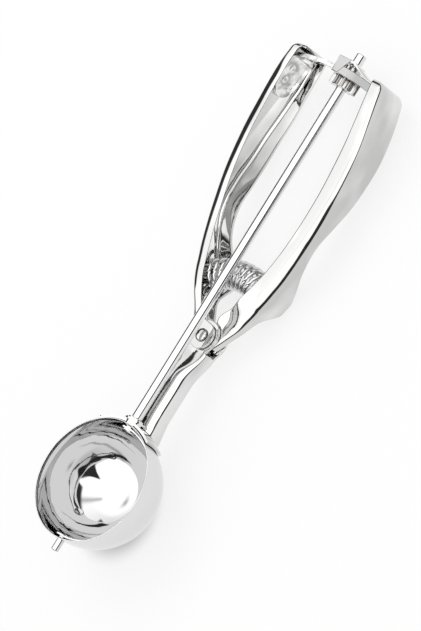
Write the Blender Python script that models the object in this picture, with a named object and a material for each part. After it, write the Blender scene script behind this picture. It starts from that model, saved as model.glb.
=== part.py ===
# Scissor ice cream scoop in polished stainless steel, modelled in metres with +Z up.
#
# The tool is drawn in its own frame: the origin is the centre of the half-ball bowl, +Y runs along
# the drive shaft to the handle ends, +Z comes out of the bowl's mouth and the fixed handle is at +X.
# One empty then lays the whole tool on a table: the bowl and the two finger lobes touch it.
#
# Squeezing turns the left handle about the hinge rivet. The curved rack on that handle rolls the
# pinion, and the shaft sweeps the blade through the bowl. A coil spring opens the handles again.

import math

import bmesh
import bpy
import numpy as np
from mathutils import Vector

# Bowl
BOWL_OUTER_RADIUS = 0.0258
BOWL_WALL = 0.0008
COLLAR_HEIGHT = 0.00375

# Gaps between neighbours that touch or run on each other
SEAT_GAP = 0.0003
SHAFT_CLEARANCE = 0.00025

# Pieces of one node are drawn this much inside each other where they are joined
JOIN_NUDGE = 0.00005

# Drive shaft, its bush and the pin at the far side of the bowl
SHAFT_RADIUS = 0.0021
SHAFT_HEAD_RADIUS = 0.0029
SHAFT_OVERHANG = 0.0049
BUSH_WALL = 0.0009
BUSH_FLANGE_RADIUS = 0.0042
BUSH_FLANGE_THICKNESS = 0.0008
BUSH_NOSE = 0.0010
PIN_RADIUS = 0.00155
PIN_PROJECTION = 0.0047
PIN_HEAD_RADIUS = 0.0022

# Scraper blade
BLADE_THICKNESS = 0.0006
BLADE_RUNNING_GAP = 0.0004
BLADE_WIDTH = 0.0094
BLADE_WAIST = 0.0054
BLADE_EYE_RADIUS = 0.0038
BLADE_REST_ANGLE = math.radians(79.0)

# Saddle plate and neck
SADDLE_SHEET = 0.0010
SADDLE_HALF_WIDTH = 0.0140
SADDLE_TOP = 0.0030
SADDLE_DEPTH = 0.0145
NECK_LENGTH = 0.0442
NECK_SHEET = 0.0010
NECK_HALF_WIDTH = 0.0040
NECK_TOP = -0.0042
NECK_BOTTOM = -0.0142

# Hinge: heights are counted from its middle plane
HINGE_LEVEL = -0.0115
NEST_HEIGHT = 0.0046
NECK_DISC_RADIUS = 0.0070
EAR_RADIUS = 0.0055
RIVET_RADIUS = 0.0020
RIVET_HEAD_RADIUS = 0.0027
RIVET_HEAD_HEIGHT = 0.0013
SPACER_RADIUS = 0.0036

# Handles: pressed channels, open towards the shaft
HANDLE_LENGTH = 0.1165
HANDLE_SHEET = 0.0010
LOWER_CORNER = 0.0030
HANDLE_END_RADIUS = 0.0030
LOBE_SHARE = 0.2146
LOBE_LEVEL = -0.0187
LOBE_DIP = 0.0003
LOBE_LENGTH = 0.0060
WIDEST_SHARE = 0.6720

# Rack and pinion
PINION_TEETH = 12
GEAR_MODULE = 0.000857
PRESSURE_ANGLE = math.radians(25.0)
GEAR_BACKLASH = 0.00030
PINION_WIDTH = 0.0068
PINION_HUB_RADIUS = 0.0034
RACK_SETBACK = 0.0021
RACK_THICKNESS = 0.0016
RACK_TOP = 0.0076
RACK_TIP = 0.0055
RACK_FOOT_LENGTH = 0.0150
RACK_FOOT_DEPTH = -0.0055
RACK_FOOT_DROP = 0.0042
WELD_DIMPLE_RADIUS = 0.0012
WELD_DIMPLE_DEPTH = 0.0003

# Bearing bracket
BRACKET_SHEET = 0.0010
BRACKET_HALF_WIDTH = 0.0050
BRACKET_LUG_RADIUS = 0.0042
BRACKET_SETBACK = 0.0042
BRACKET_STRIP_TOP = 0.0084
BRACKET_STRIP_BOTTOM = 0.0040
BRACKET_LID = 0.0083
BRACKET_LID_START = -0.0018
BRACKET_LID_END = 0.0047
BRACKET_WEB_END = 0.0200
BRACKET_FOOT_LENGTH = 0.0120

# Return spring
SPRING_ARC_RADIUS = 0.0277
SPRING_LEVEL = -0.0112
SPRING_MEAN_RADIUS = 0.00555
SPRING_WIRE = 0.0014
SPRING_TURNS = 12
SPRING_HALF_ANGLE = math.radians(34.5)
PEG_RADIUS = 0.0032
PEG_LENGTH = 0.0066

# Worked out from the sizes above
BOWL_INNER_RADIUS = BOWL_OUTER_RADIUS - BOWL_WALL
HINGE_Y = BOWL_OUTER_RADIUS + NECK_LENGTH
HANDLE_END = HINGE_Y + HANDLE_LENGTH
RACK_RADIUS = HANDLE_LENGTH - RACK_SETBACK
RACK_Y = HINGE_Y + RACK_RADIUS
PITCH_RADIUS = 0.5 * GEAR_MODULE * PINION_TEETH
SADDLE_INNER = BOWL_OUTER_RADIUS + SEAT_GAP
SADDLE_OUTER = SADDLE_INNER + SADDLE_SHEET
NECK_FRONT = SADDLE_OUTER + SEAT_GAP
NEST_HALF = 0.5 * NEST_HEIGHT
DISC_INNER = NEST_HALF + SEAT_GAP
DISC_OUTER = DISC_INNER + NECK_SHEET
LEVER_EAR_INNER = DISC_OUTER + SEAT_GAP
LEVER_EAR_OUTER = LEVER_EAR_INNER + HANDLE_SHEET
BRACKET_Y = RACK_Y + BRACKET_SETBACK
SHAFT_END = BRACKET_Y + SHAFT_OVERHANG + 0.5 * BRACKET_SHEET
BLADE_OUTER = BOWL_INNER_RADIUS - BLADE_RUNNING_GAP
BLADE_INNER = BLADE_OUTER - BLADE_THICKNESS
BUSH_BORE = SHAFT_RADIUS + SHAFT_CLEARANCE
BUSH_RADIUS = BUSH_BORE + BUSH_WALL
PIN_END = BOWL_OUTER_RADIUS + PIN_PROJECTION

# Handle outline: share of the handle's length, how far out the spine stands, and the level of the
# upper and lower flange. The lower level at the finger lobe is LOBE_LEVEL.
HANDLE_STATIONS = [
    (-0.030, 0.0052, -0.0050, -0.0130),
    (0.000, 0.0074, -0.0050, -0.0130),
    (0.052, 0.0111, -0.0049, -0.0125),
    (0.086, 0.0139, -0.0047, -0.0122),
    (0.120, 0.0166, -0.0047, -0.0132),
    (0.155, 0.0186, -0.0042, -0.0160),
    (0.189, 0.0202, -0.0035, LOBE_LEVEL - LOBE_DIP),
    (0.223, 0.0215, -0.0029, LOBE_LEVEL - LOBE_DIP),
    (0.258, 0.0229, -0.0023, -0.0168),
    (0.326, 0.0250, -0.0010, -0.0116),
    (0.429, 0.0274, 0.0008, -0.0077),
    (0.515, 0.0289, 0.0024, -0.0085),
    (0.601, 0.0296, 0.0039, -0.0102),
    (0.687, 0.0298, 0.0053, -0.0108),
    (0.773, 0.0293, 0.0067, -0.0111),
    (0.858, 0.0282, 0.0085, -0.0103),
    (0.927, 0.0270, 0.0097, -0.0090),
    (0.979, 0.0258, 0.0102, -0.0078),
    (1.000, 0.0252, 0.0105, -0.0073),
]

# Fixed handle: share of its length, width of the upper and of the lower flange, and the radius of
# the corner between the spine and the upper flange
FIXED_FLANGES = [
    (0.00, 0.0042, 0.0044, 0.0024),
    (0.03, 0.0060, 0.0051, 0.0028),
    (0.06, 0.0090, 0.0060, 0.0034),
    (0.09, 0.0104, 0.0072, 0.0038),
    (0.12, 0.0104, 0.0084, 0.0041),
    (0.17, 0.0102, 0.0104, 0.0043),
    (0.21, 0.0097, 0.0116, 0.0044),
    (0.27, 0.0089, 0.0100, 0.0043),
    (0.33, 0.0084, 0.0084, 0.0040),
    (0.43, 0.0081, 0.0087, 0.0033),
    (0.52, 0.0080, 0.0094, 0.0028),
    (0.60, 0.0078, 0.0087, 0.0022),
    (0.69, 0.0078, 0.0081, 0.0020),
    (0.78, 0.0074, 0.0074, 0.0019),
    (0.86, 0.0067, 0.0065, 0.0018),
    (0.93, 0.0061, 0.0062, 0.0018),
    (1.00, 0.0054, 0.0058, 0.0018),
]

# Lever handle: the same columns. Its upper flange is narrower
LEVER_FLANGES = [
    (0.00, 0.0042, 0.0044, 0.0024),
    (0.06, 0.0052, 0.0060, 0.0030),
    (0.12, 0.0058, 0.0084, 0.0035),
    (0.17, 0.0058, 0.0104, 0.0037),
    (0.21, 0.0058, 0.0116, 0.0037),
    (0.27, 0.0060, 0.0100, 0.0037),
    (0.33, 0.0060, 0.0084, 0.0037),
    (0.43, 0.0057, 0.0087, 0.0034),
    (0.52, 0.0055, 0.0094, 0.0033),
    (0.60, 0.0053, 0.0087, 0.0032),
    (0.69, 0.0052, 0.0081, 0.0031),
    (0.78, 0.0051, 0.0074, 0.0030),
    (0.86, 0.0050, 0.0065, 0.0028),
    (0.93, 0.0048, 0.0062, 0.0025),
    (1.00, 0.0044, 0.0058, 0.0022),
]

STEEL_COLOUR = (0.78, 0.78, 0.79, 1.0)


def clear_scene():
    """Remove whatever the file opened with."""
    for thing in list(bpy.data.objects):
        bpy.data.objects.remove(thing, do_unlink=True)


def smooth_curve(stations, column, at):
    """Cubic Hermite curve through (position, value) stations, with slopes from the neighbours."""
    xs = np.array([row[0] for row in stations])
    ys = np.array([row[column] for row in stations])
    slopes = np.gradient(ys, xs)
    at = min(max(at, xs[0]), xs[-1])
    i = min(int(np.searchsorted(xs, at, side="right")) - 1, len(xs) - 2)
    h = xs[i + 1] - xs[i]
    t = (at - xs[i]) / h
    a = (1 + 2 * t) * (1 - t) ** 2 * ys[i] + t * (1 - t) ** 2 * h * slopes[i]
    b = t * t * (3 - 2 * t) * ys[i + 1] + t * t * (t - 1) * h * slopes[i + 1]
    return float(a + b)


def ease(t):
    """0 below t = 0, 1 above t = 1 and smooth between."""
    t = min(max(t, 0.0), 1.0)
    return t * t * (3 - 2 * t)


def share(y):
    """Place along the handle, 0 at the hinge axis and 1 at the end."""
    return (y - HINGE_Y) / HANDLE_LENGTH


def spine_out(y):
    """Distance of the handle's outer face from the shaft's plane."""
    return smooth_curve(HANDLE_STATIONS, 1, share(y))


def spine_inner_point(y, extra):
    """Point on a line parallel to the spine, extra metres inside its inner face, for the right side."""
    step = 0.0005
    slope = (spine_out(y + step) - spine_out(y - step)) / (2 * step)
    normal = Vector((-1.0, slope)).normalized()
    return Vector((spine_out(y), y)) + normal * (HANDLE_SHEET + extra)


def flanges(side):
    """Flange table of the fixed handle (side +1) or of the lever handle (side -1)."""
    return FIXED_FLANGES if side > 0 else LEVER_FLANGES


def flange_widths(y, side):
    """Widths of the upper and the lower flange."""
    table = flanges(side)
    return smooth_curve(table, 1, share(y)), smooth_curve(table, 2, share(y))


def upper_corner(y, side):
    """Radius of the corner between the spine and the upper flange."""
    return smooth_curve(flanges(side), 3, share(y))


def rest_tilt():
    """Angle at which the tool lies on a table, on the bowl and on the two finger lobes."""
    lobe_y = HINGE_Y + LOBE_SHARE * HANDLE_LENGTH
    reach = math.hypot(lobe_y, LOBE_LEVEL)
    return math.asin(BOWL_OUTER_RADIUS / reach) - math.atan2(-LOBE_LEVEL, lobe_y)


def table_level(y):
    """Height of the table top in the tool's frame."""
    tilt = rest_tilt()
    return -BOWL_OUTER_RADIUS / math.cos(tilt) + y * math.tan(tilt)


def new_material(name, roughness):
    material = bpy.data.materials.new(name)
    material.use_nodes = True
    shader = material.node_tree.nodes["Principled BSDF"]
    shader.inputs["Base Color"].default_value = STEEL_COLOUR
    shader.inputs["Metallic"].default_value = 1.0
    shader.inputs["Roughness"].default_value = roughness
    return material


def add_object(name, mesh, parent, roughness=0.12):
    """Link a mesh as a named part with a material of its own."""
    thing = bpy.data.objects.new(name, mesh)
    bpy.context.scene.collection.objects.link(thing)
    thing.parent = parent
    mesh.materials.append(new_material(name + "_steel", roughness))
    mesh.shade_smooth()
    mesh.set_sharp_from_angle(angle=math.radians(35))
    return thing


def add_helper(name, mesh, parent):
    """Link a mesh that only cuts or joins another one."""
    thing = bpy.data.objects.new(name, mesh)
    bpy.context.scene.collection.objects.link(thing)
    thing.parent = parent
    thing.hide_render = True
    thing.display_type = "WIRE"
    return thing


def combine(thing, helper, operation):
    modifier = thing.modifiers.new(helper.name, "BOOLEAN")
    modifier.operation = operation
    modifier.solver = "EXACT"
    modifier.object = helper
    return modifier


def thicken(thing, thickness, offset):
    modifier = thing.modifiers.new("sheet", "SOLIDIFY")
    modifier.thickness = thickness
    modifier.offset = offset
    modifier.use_even_offset = True
    return modifier


def mesh_from_bmesh(name, bm):
    mesh = bpy.data.meshes.new(name)
    bm.to_mesh(mesh)
    bm.free()
    return mesh


def turned(name, profile, parent, steps, closed=False, roughness=0.12):
    """Turn a profile of (radius, height) points about the local Z axis with a Screw modifier."""
    bm = bmesh.new()
    verts = [bm.verts.new((r, 0.0, z)) for r, z in profile]
    pairs = list(zip(verts, verts[1:]))
    if closed:
        pairs.append((verts[-1], verts[0]))
    for first, second in pairs:
        bm.edges.new((first, second))
    thing = add_object(name, mesh_from_bmesh(name, bm), parent, roughness)
    screw = thing.modifiers.new("turn", "SCREW")
    screw.axis = "Z"
    screw.angle = 2 * math.pi
    screw.steps = steps
    screw.render_steps = steps
    screw.use_merge_vertices = True
    screw.merge_threshold = 0.00001
    screw.use_smooth_shade = True
    return thing


def rod_mesh(name, radius, length, segments=32):
    """Closed cylinder about the local Z axis, centred on the origin."""
    bm = bmesh.new()
    bmesh.ops.create_cone(bm, cap_ends=True, segments=segments, radius1=radius, radius2=radius, depth=length)
    return mesh_from_bmesh(name, bm)


def along_y(thing, y):
    """Stand a piece that was turned about Z on the shaft's axis, its own +Z towards the handles."""
    thing.rotation_euler = (-math.pi / 2, 0.0, 0.0)
    thing.location = (0.0, y, 0.0)


def skin(name, rings, end_face=False):
    """Surface through a row of point lists of equal length."""
    bm = bmesh.new()
    rows = [[bm.verts.new(p) for p in ring] for ring in rings]
    for lower, upper in zip(rows, rows[1:]):
        for j in range(len(lower) - 1):
            bm.faces.new((lower[j], lower[j + 1], upper[j + 1], upper[j]))
    if end_face:
        bm.faces.new(rows[-1])
    return mesh_from_bmesh(name, bm)


def plate_mesh(name, outline, bottom, top):
    """Flat plate with a plan outline, given anticlockwise, extruded from bottom to top."""
    bm = bmesh.new()
    base = bm.faces.new([bm.verts.new((x, y, bottom)) for x, y in outline])
    lifted = bmesh.ops.extrude_face_region(bm, geom=[base])
    raised = [v for v in lifted["geom"] if isinstance(v, bmesh.types.BMVert)]
    bmesh.ops.translate(bm, verts=raised, vec=(0.0, 0.0, top - bottom))
    bmesh.ops.recalc_face_normals(bm, faces=bm.faces)
    return mesh_from_bmesh(name, bm)


def circle_points(centre, radius, count):
    turns = [2 * math.pi * i / count for i in range(count)]
    return [(centre[0] + radius * math.cos(a), centre[1] + radius * math.sin(a)) for a in turns]


def hull_outline(points):
    """Anticlockwise convex outline round a set of plan points."""
    points = sorted(set(points))
    halves = []
    for row in (points, points[::-1]):
        chain = []
        for p in row:
            while len(chain) > 1 and cross(chain[-2], chain[-1], p) <= 1e-12:
                chain.pop()
            chain.append(p)
        halves.append(chain[:-1])
    return halves[0] + halves[1]


def cross(a, b, c):
    return (b[0] - a[0]) * (c[1] - a[1]) - (b[1] - a[1]) * (c[0] - a[0])


def make_bowl(parent):
    """Half ball with a straight collar, turned in one piece and pierced for the bush and the pin."""
    lip = 0.25 * BOWL_WALL
    quarter = [0.5 * math.pi * i / 12 for i in range(13)]
    inner = [(BOWL_INNER_RADIUS * math.sin(a), -BOWL_INNER_RADIUS * math.cos(a)) for a in quarter]
    outer = [(BOWL_OUTER_RADIUS * math.sin(a), -BOWL_OUTER_RADIUS * math.cos(a)) for a in quarter[::-1]]
    rim = [
        (BOWL_INNER_RADIUS, COLLAR_HEIGHT - lip),
        (BOWL_INNER_RADIUS + lip, COLLAR_HEIGHT),
        (BOWL_OUTER_RADIUS - lip, COLLAR_HEIGHT),
        (BOWL_OUTER_RADIUS, COLLAR_HEIGHT - lip),
    ]
    bowl = turned("bowl", inner + rim + outer, parent, 48, roughness=0.08)
    bush_hole_radius = BUSH_RADIUS + SEAT_GAP
    bush_hole = add_helper("bush_hole", rod_mesh("bush_hole", bush_hole_radius, 6 * BOWL_WALL, 24), parent)
    along_y(bush_hole, BOWL_OUTER_RADIUS)
    pin_hole = add_helper("pin_hole", rod_mesh("pin_hole", PIN_RADIUS + SEAT_GAP, 6 * BOWL_WALL, 20), parent)
    along_y(pin_hole, -BOWL_OUTER_RADIUS)
    combine(bowl, bush_hole, "DIFFERENCE")
    combine(bowl, pin_hole, "DIFFERENCE")
    return bowl


def saddle_half_angle(level):
    """Half width of the saddle as an angle round the bowl: full at the top, rounded off below."""
    full = SADDLE_HALF_WIDTH / BOWL_OUTER_RADIUS
    straight = 0.35 * SADDLE_DEPTH
    fall = min(max((-level - straight) / (SADDLE_DEPTH - straight), 0.0), 1.0)
    return full * (0.25 + 0.75 * math.sqrt(1.0 - fall ** 2))


def make_saddle(parent):
    """Plate that hugs the bowl's wall under the rim, notched for the bush."""
    rows = []
    for i in range(13):
        level = SADDLE_TOP - (SADDLE_TOP + SADDLE_DEPTH) * math.sin(0.5 * math.pi * i / 12)
        half = saddle_half_angle(level)
        depth = min(level, 0.0)
        radius = math.sqrt(SADDLE_INNER ** 2 - depth ** 2)
        angles = [half * (j / 9.0 * 2 - 1) for j in range(10)]
        rows.append([(radius * math.sin(a), radius * math.cos(a), level) for a in angles])
    saddle = add_object("neck_saddle", skin("neck_saddle", rows), parent)
    thicken(saddle, SADDLE_SHEET, 1.0)
    notch_radius = BUSH_RADIUS + SEAT_GAP
    notch = add_helper("bush_notch", rod_mesh("bush_notch", notch_radius, 8 * SADDLE_SHEET, 24), parent)
    along_y(notch, SADDLE_OUTER)
    combine(saddle, notch, "DIFFERENCE")
    return saddle


def neck_section(y, half_width, top, bottom, curl, lip_gap, foot_radius):
    """Trough section at y: a rounded bottom, two walls and lips that curl over by the angle curl."""
    lip_radius = 0.0012
    lip_length = max((half_width - lip_radius - lip_gap) * ease((curl - 0.6) / 0.9), 0.00005)
    wall_top = top - lip_radius * math.sin(curl) - lip_length * math.cos(curl)
    points = []
    tip_x = -half_width + lip_radius * (1 - math.cos(curl)) + lip_length * math.sin(curl)
    points.append((tip_x, top))
    for i in range(5):
        a = curl * (1 - i / 4)
        x = -half_width + lip_radius * (1 - math.cos(a))
        points.append((x, wall_top + lip_radius * math.sin(a)))
    for i in range(7):
        a = 0.5 * math.pi * i / 6
        x = -half_width + foot_radius * (1 - math.cos(a))
        points.append((x, bottom + foot_radius * (1 - math.sin(a))))
    mirrored = [(-x, z) for x, z in points[::-1]]
    return [(x, y, z) for x, z in points + mirrored]


def make_neck(parent):
    """Pressed trough from the saddle to the hinge, with its walls folded over into two hinge discs."""
    disc_top = HINGE_LEVEL + DISC_OUTER
    disc_bottom = HINGE_LEVEL - DISC_OUTER
    collar_y = HINGE_Y - EAR_RADIUS - SEAT_GAP
    stations = [0.0, 0.10, 0.20, 0.32, 0.45, 0.58, 0.68, 0.76, 0.84, 0.90, 0.95, 1.0]
    start = NECK_FRONT - 0.0050
    rings = []
    for t in stations:
        y = start + (collar_y - start) * t
        flare = 1 - ease(t / 0.28)
        spread = ease((t - 0.66) / 0.34)
        half_width = NECK_HALF_WIDTH + 0.0012 * flare + (NECK_DISC_RADIUS - 0.0010 - NECK_HALF_WIDTH) * spread
        top = NECK_TOP + (disc_top - NECK_TOP) * spread
        bottom = NECK_BOTTOM - 0.0012 * flare + (disc_bottom - NECK_BOTTOM) * spread
        curl = math.radians(12) + math.radians(78) * ease((t - 0.60) / 0.32)
        foot = 0.0036 + (0.0016 - 0.0036) * spread
        rings.append(neck_section(y, half_width, top, bottom, curl, 0.0002, foot))
    neck = add_object("neck", skin("neck", rings), parent)
    thicken(neck, NECK_SHEET, 1.0)
    nudge = JOIN_NUDGE
    for name, low, high in (
        ("upper_disc", DISC_INNER + nudge, DISC_OUTER - nudge),
        ("lower_disc", -DISC_OUTER + nudge, -DISC_INNER - nudge),
    ):
        half = NECK_DISC_RADIUS - 0.0022
        outline = hull_outline(
            circle_points((0.0, HINGE_Y), NECK_DISC_RADIUS, 36)
            + [(-half, collar_y - 0.0012), (half, collar_y - 0.0012)]
        )
        plate = add_helper(name, plate_mesh(name, outline, HINGE_LEVEL + low, HINGE_LEVEL + high), parent)
        combine(neck, plate, "UNION")
    cut_hinge_hole(neck, parent)
    bm = bmesh.new()
    bmesh.ops.create_uvsphere(bm, u_segments=48, v_segments=32, radius=NECK_FRONT)
    ball = add_helper("bowl_relief", mesh_from_bmesh("bowl_relief", bm), parent)
    combine(neck, ball, "DIFFERENCE")
    return neck


def cut_hinge_hole(thing, parent):
    name = thing.name + "_rivet_hole"
    helper = add_helper(name, rod_mesh(name, RIVET_RADIUS + SEAT_GAP, 0.03, 24), parent)
    helper.location = (0.0, HINGE_Y, HINGE_LEVEL)
    combine(thing, helper, "DIFFERENCE")


def handle_section(y, side, out, top, bottom, widths):
    """Channel section at y from the upper flange's edge round the spine to the lower flange's edge."""
    upper, lower = widths
    r = min(upper_corner(y, side), 0.39 * (top - bottom))
    points = [(out - upper, top), (out - 0.5 * (upper + r), top)]
    for i in range(6):
        a = 0.5 * math.pi * i / 5
        points.append((out - r + r * math.sin(a), top - r + r * math.cos(a)))
    points.append((out, 0.5 * (top + bottom)))
    r = min(LOWER_CORNER, 0.39 * (top - bottom))
    for i in range(6):
        a = 0.5 * math.pi * i / 5
        points.append((out - r + r * math.cos(a), bottom + r - r * math.sin(a)))
    points += [(out - 0.5 * (lower + r), bottom), (out - lower, bottom)]
    return [(side * x, y, z) for x, z in points]


def handle_levels(y, ear_half):
    """Upper and lower flange level: flat at the hinge, then the outline's own levels."""
    s = share(y)
    top = smooth_curve(HANDLE_STATIONS, 2, s)
    bottom = smooth_curve(HANDLE_STATIONS, 3, s)
    blend = ease((y - HINGE_Y - 0.9 * NECK_DISC_RADIUS) / (1.9 * NECK_DISC_RADIUS))
    top = (HINGE_LEVEL + ear_half) * (1 - blend) + top * blend
    bottom = (HINGE_LEVEL - ear_half) * (1 - blend) + bottom * blend
    return top, max(bottom, table_level(y))


def spine_flat(y, ear_half, side):
    """Lower and upper end of the flat part of the spine's inner face."""
    top, bottom = handle_levels(y, ear_half)
    return bottom + LOWER_CORNER, top - upper_corner(y, side)


def make_handle(name, side, start, ear_half, parent):
    """Pressed channel handle with a closed end, for the right (+1) or the left (-1) side."""
    lobe_y = HINGE_Y + LOBE_SHARE * HANDLE_LENGTH
    widest_y = HINGE_Y + WIDEST_SHARE * HANDLE_LENGTH
    ys = [start + (HANDLE_END - start) * i / 25 for i in range(25)]
    ys = [y for y in ys if abs(y - lobe_y) > 0.6 * LOBE_LENGTH and y < HANDLE_END - HANDLE_END_RADIUS]
    ys = [y for y in ys if abs(y - widest_y) > 0.2 * LOBE_LENGTH]
    ys += [lobe_y - 0.5 * LOBE_LENGTH, lobe_y, lobe_y + 0.5 * LOBE_LENGTH, widest_y]
    ys += [HANDLE_END - HANDLE_END_RADIUS * (1 - math.sin(0.5 * math.pi * i / 5)) for i in range(6)]
    rings = []
    for y in sorted(ys):
        top, bottom = handle_levels(y, ear_half)
        out = spine_out(y)
        into_end = max(y - (HANDLE_END - HANDLE_END_RADIUS), 0.0)
        inset = HANDLE_END_RADIUS - math.sqrt(max(HANDLE_END_RADIUS ** 2 - into_end ** 2, 0.0))
        inset = min(inset, 0.7 * HANDLE_END_RADIUS)
        widths = [width - inset for width in flange_widths(y, side)]
        rings.append(handle_section(y, side, out - inset, top - inset, bottom + inset, widths))
    mesh = skin(name, rings, end_face=True)
    bm = bmesh.new()
    bm.from_mesh(mesh)
    if side < 0:
        bmesh.ops.reverse_faces(bm, faces=bm.faces)
    bm.to_mesh(mesh)
    bm.free()
    handle = add_object(name, mesh, parent)
    thicken(handle, HANDLE_SHEET, -1.0)
    return handle


def add_ears(handle, inner, outer, reach, parent):
    """Join the two round ears of a handle to its flanges."""
    nudge = JOIN_NUDGE
    levels = (("upper", inner + nudge, outer - nudge), ("lower", -outer + nudge, -inner - nudge))
    for label, low, high in levels:
        outline = hull_outline(circle_points((0.0, HINGE_Y), EAR_RADIUS, 32) + reach)
        name = handle.name + "_" + label + "_ear"
        ear = add_helper(name, plate_mesh(name, outline, HINGE_LEVEL + low, HINGE_LEVEL + high), parent)
        cut_hinge_hole(ear, parent)
        combine(handle, ear, "UNION")


def make_fixed_handle(parent):
    handle = make_handle("fixed_handle", 1.0, HINGE_Y - 0.0027, NEST_HALF, parent)
    add_ears(handle, NEST_HALF - HANDLE_SHEET, NEST_HALF, [(0.0062, HINGE_Y + 0.0035)], parent)
    return handle


def make_lever_handle(parent):
    start = HINGE_Y + 0.0022
    handle = make_handle("lever_handle", -1.0, start, LEVER_EAR_OUTER, parent)
    web_y = start + 0.0028
    web_x = -spine_out(web_y) + 0.0022
    reach = circle_points((web_x, web_y), 0.0015, 12)
    add_ears(handle, LEVER_EAR_INNER, LEVER_EAR_OUTER, reach, parent)
    return handle


def make_rivet(parent):
    """Headed rivet through all the ears, with a low dome at each end."""
    head = LEVER_EAR_OUTER + SEAT_GAP
    dome = []
    for i in range(7):
        a = 0.5 * math.pi * i / 6
        dome.append((RIVET_HEAD_RADIUS * math.sin(a), head + RIVET_HEAD_HEIGHT * math.cos(a)))
    profile = dome + [(RIVET_RADIUS, head), (RIVET_RADIUS, -head)]
    profile += [(r, -z) for r, z in dome[::-1]]
    rivet = turned("hinge_rivet", profile, parent, 28)
    rivet.location = (0.0, HINGE_Y, HINGE_LEVEL)
    return rivet


def make_spacer(parent):
    """Sleeve round the rivet that keeps the fixed handle's two ears apart."""
    half = NEST_HALF - HANDLE_SHEET - SEAT_GAP
    bore = RIVET_RADIUS + SEAT_GAP
    profile = [(bore, -half), (bore, half), (SPACER_RADIUS, half), (SPACER_RADIUS, -half)]
    spacer = turned("hinge_spacer", profile, parent, 24, closed=True)
    spacer.location = (0.0, HINGE_Y, HINGE_LEVEL)
    return spacer


def make_bush(parent):
    """Flanged sleeve that carries the shaft in the bowl's wall."""
    flange = SADDLE_OUTER + SEAT_GAP
    profile = [
        (BUSH_BORE, BOWL_INNER_RADIUS + 0.0001),
        (BUSH_BORE, flange + BUSH_FLANGE_THICKNESS + BUSH_NOSE),
        (BUSH_RADIUS, flange + BUSH_FLANGE_THICKNESS + BUSH_NOSE),
        (BUSH_RADIUS, flange + BUSH_FLANGE_THICKNESS),
        (BUSH_FLANGE_RADIUS, flange + BUSH_FLANGE_THICKNESS),
        (BUSH_FLANGE_RADIUS, flange),
        (BUSH_RADIUS, flange),
        (BUSH_RADIUS, BOWL_INNER_RADIUS + 0.0001),
    ]
    bush = turned("shaft_bushing", profile, parent, 28, closed=True)
    along_y(bush, 0.0)
    return bush


def make_pin(parent):
    """Pin the blade turns on, with a small head inside the bowl."""
    head_end = BLADE_INNER - SEAT_GAP - 0.0006
    profile = [
        (0.0, -head_end),
        (PIN_HEAD_RADIUS - 0.0003, -head_end),
        (PIN_HEAD_RADIUS, -head_end - 0.0003),
        (PIN_HEAD_RADIUS, -BLADE_INNER + SEAT_GAP),
        (PIN_RADIUS, -BLADE_INNER + SEAT_GAP),
        (PIN_RADIUS, -PIN_END + 0.0003),
        (PIN_RADIUS - 0.0003, -PIN_END),
        (0.0, -PIN_END),
    ]
    pin = turned("blade_pivot_pin", profile, parent, 24)
    along_y(pin, 0.0)
    return pin


def make_shaft(parent):
    """Plain rod with a riveted head inside the bowl and a chamfered end past the bracket."""
    head_inner = BLADE_INNER - SEAT_GAP
    profile = [
        (0.0, SHAFT_END),
        (SHAFT_RADIUS - 0.0004, SHAFT_END),
        (SHAFT_RADIUS, SHAFT_END - 0.0004),
        (SHAFT_RADIUS, head_inner),
        (SHAFT_HEAD_RADIUS, head_inner),
        (SHAFT_HEAD_RADIUS, head_inner - 0.0005),
        (SHAFT_HEAD_RADIUS - 0.0008, head_inner - 0.0009),
        (0.0, head_inner - 0.0010),
    ]
    shaft = turned("drive_shaft", profile, parent, 32)
    along_y(shaft, 0.0)
    return shaft


def involute_flank(base, radius):
    """Angle swept by an involute of a base circle at a radius."""
    roll = math.sqrt(max((radius / base) ** 2 - 1.0, 0.0))
    return roll - math.atan(roll)


def pinion_outline():
    """Tooth outline from the module, the count and the pressure angle, thinned by the backlash."""
    base = PITCH_RADIUS * math.cos(PRESSURE_ANGLE)
    tip = PITCH_RADIUS + 0.93 * GEAR_MODULE
    root = PITCH_RADIUS - 1.20 * GEAR_MODULE
    half_tooth = 0.5 * math.pi / PINION_TEETH - 0.25 * GEAR_BACKLASH / PITCH_RADIUS
    half_at_base = half_tooth + involute_flank(base, PITCH_RADIUS)
    points = []
    for k in range(PINION_TEETH):
        middle = 2 * math.pi * k / PINION_TEETH + 0.5 * math.pi
        flank = [(root, half_at_base + 0.02)]
        for i in range(5):
            radius = max(base, root) + (tip - max(base, root)) * i / 4
            flank.append((radius, half_at_base - involute_flank(base, radius)))
        right = [(r, middle - a) for r, a in flank]
        left = [(r, middle + a) for r, a in flank[::-1]]
        points += [(r * math.cos(a), r * math.sin(a)) for r, a in right + left]
    return points


def make_pinion(parent):
    """Toothed wheel with a short hub towards the bracket, bored for the shaft."""
    length = BRACKET_Y - 0.5 * BRACKET_SHEET - SEAT_GAP
    front = RACK_Y + 0.5 * RACK_THICKNESS + 0.0002 - PINION_WIDTH
    outline = pinion_outline()
    mesh = plate_mesh("pinion", outline, front, front + PINION_WIDTH)
    pinion = add_object("pinion", mesh, parent, 0.2)
    along_y(pinion, 0.0)
    hub_length = length - front - PINION_WIDTH + 0.0010
    hub = add_helper("pinion_hub", rod_mesh("pinion_hub", PINION_HUB_RADIUS, hub_length, 28), parent)
    along_y(hub, length - 0.5 * hub_length)
    combine(pinion, hub, "UNION")
    bore_radius = SHAFT_RADIUS + SHAFT_CLEARANCE
    bore = add_helper("pinion_bore", rod_mesh("pinion_bore", bore_radius, 0.02, 28), parent)
    along_y(bore, front + 0.5 * PINION_WIDTH)
    combine(pinion, bore, "DIFFERENCE")
    return pinion


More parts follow.
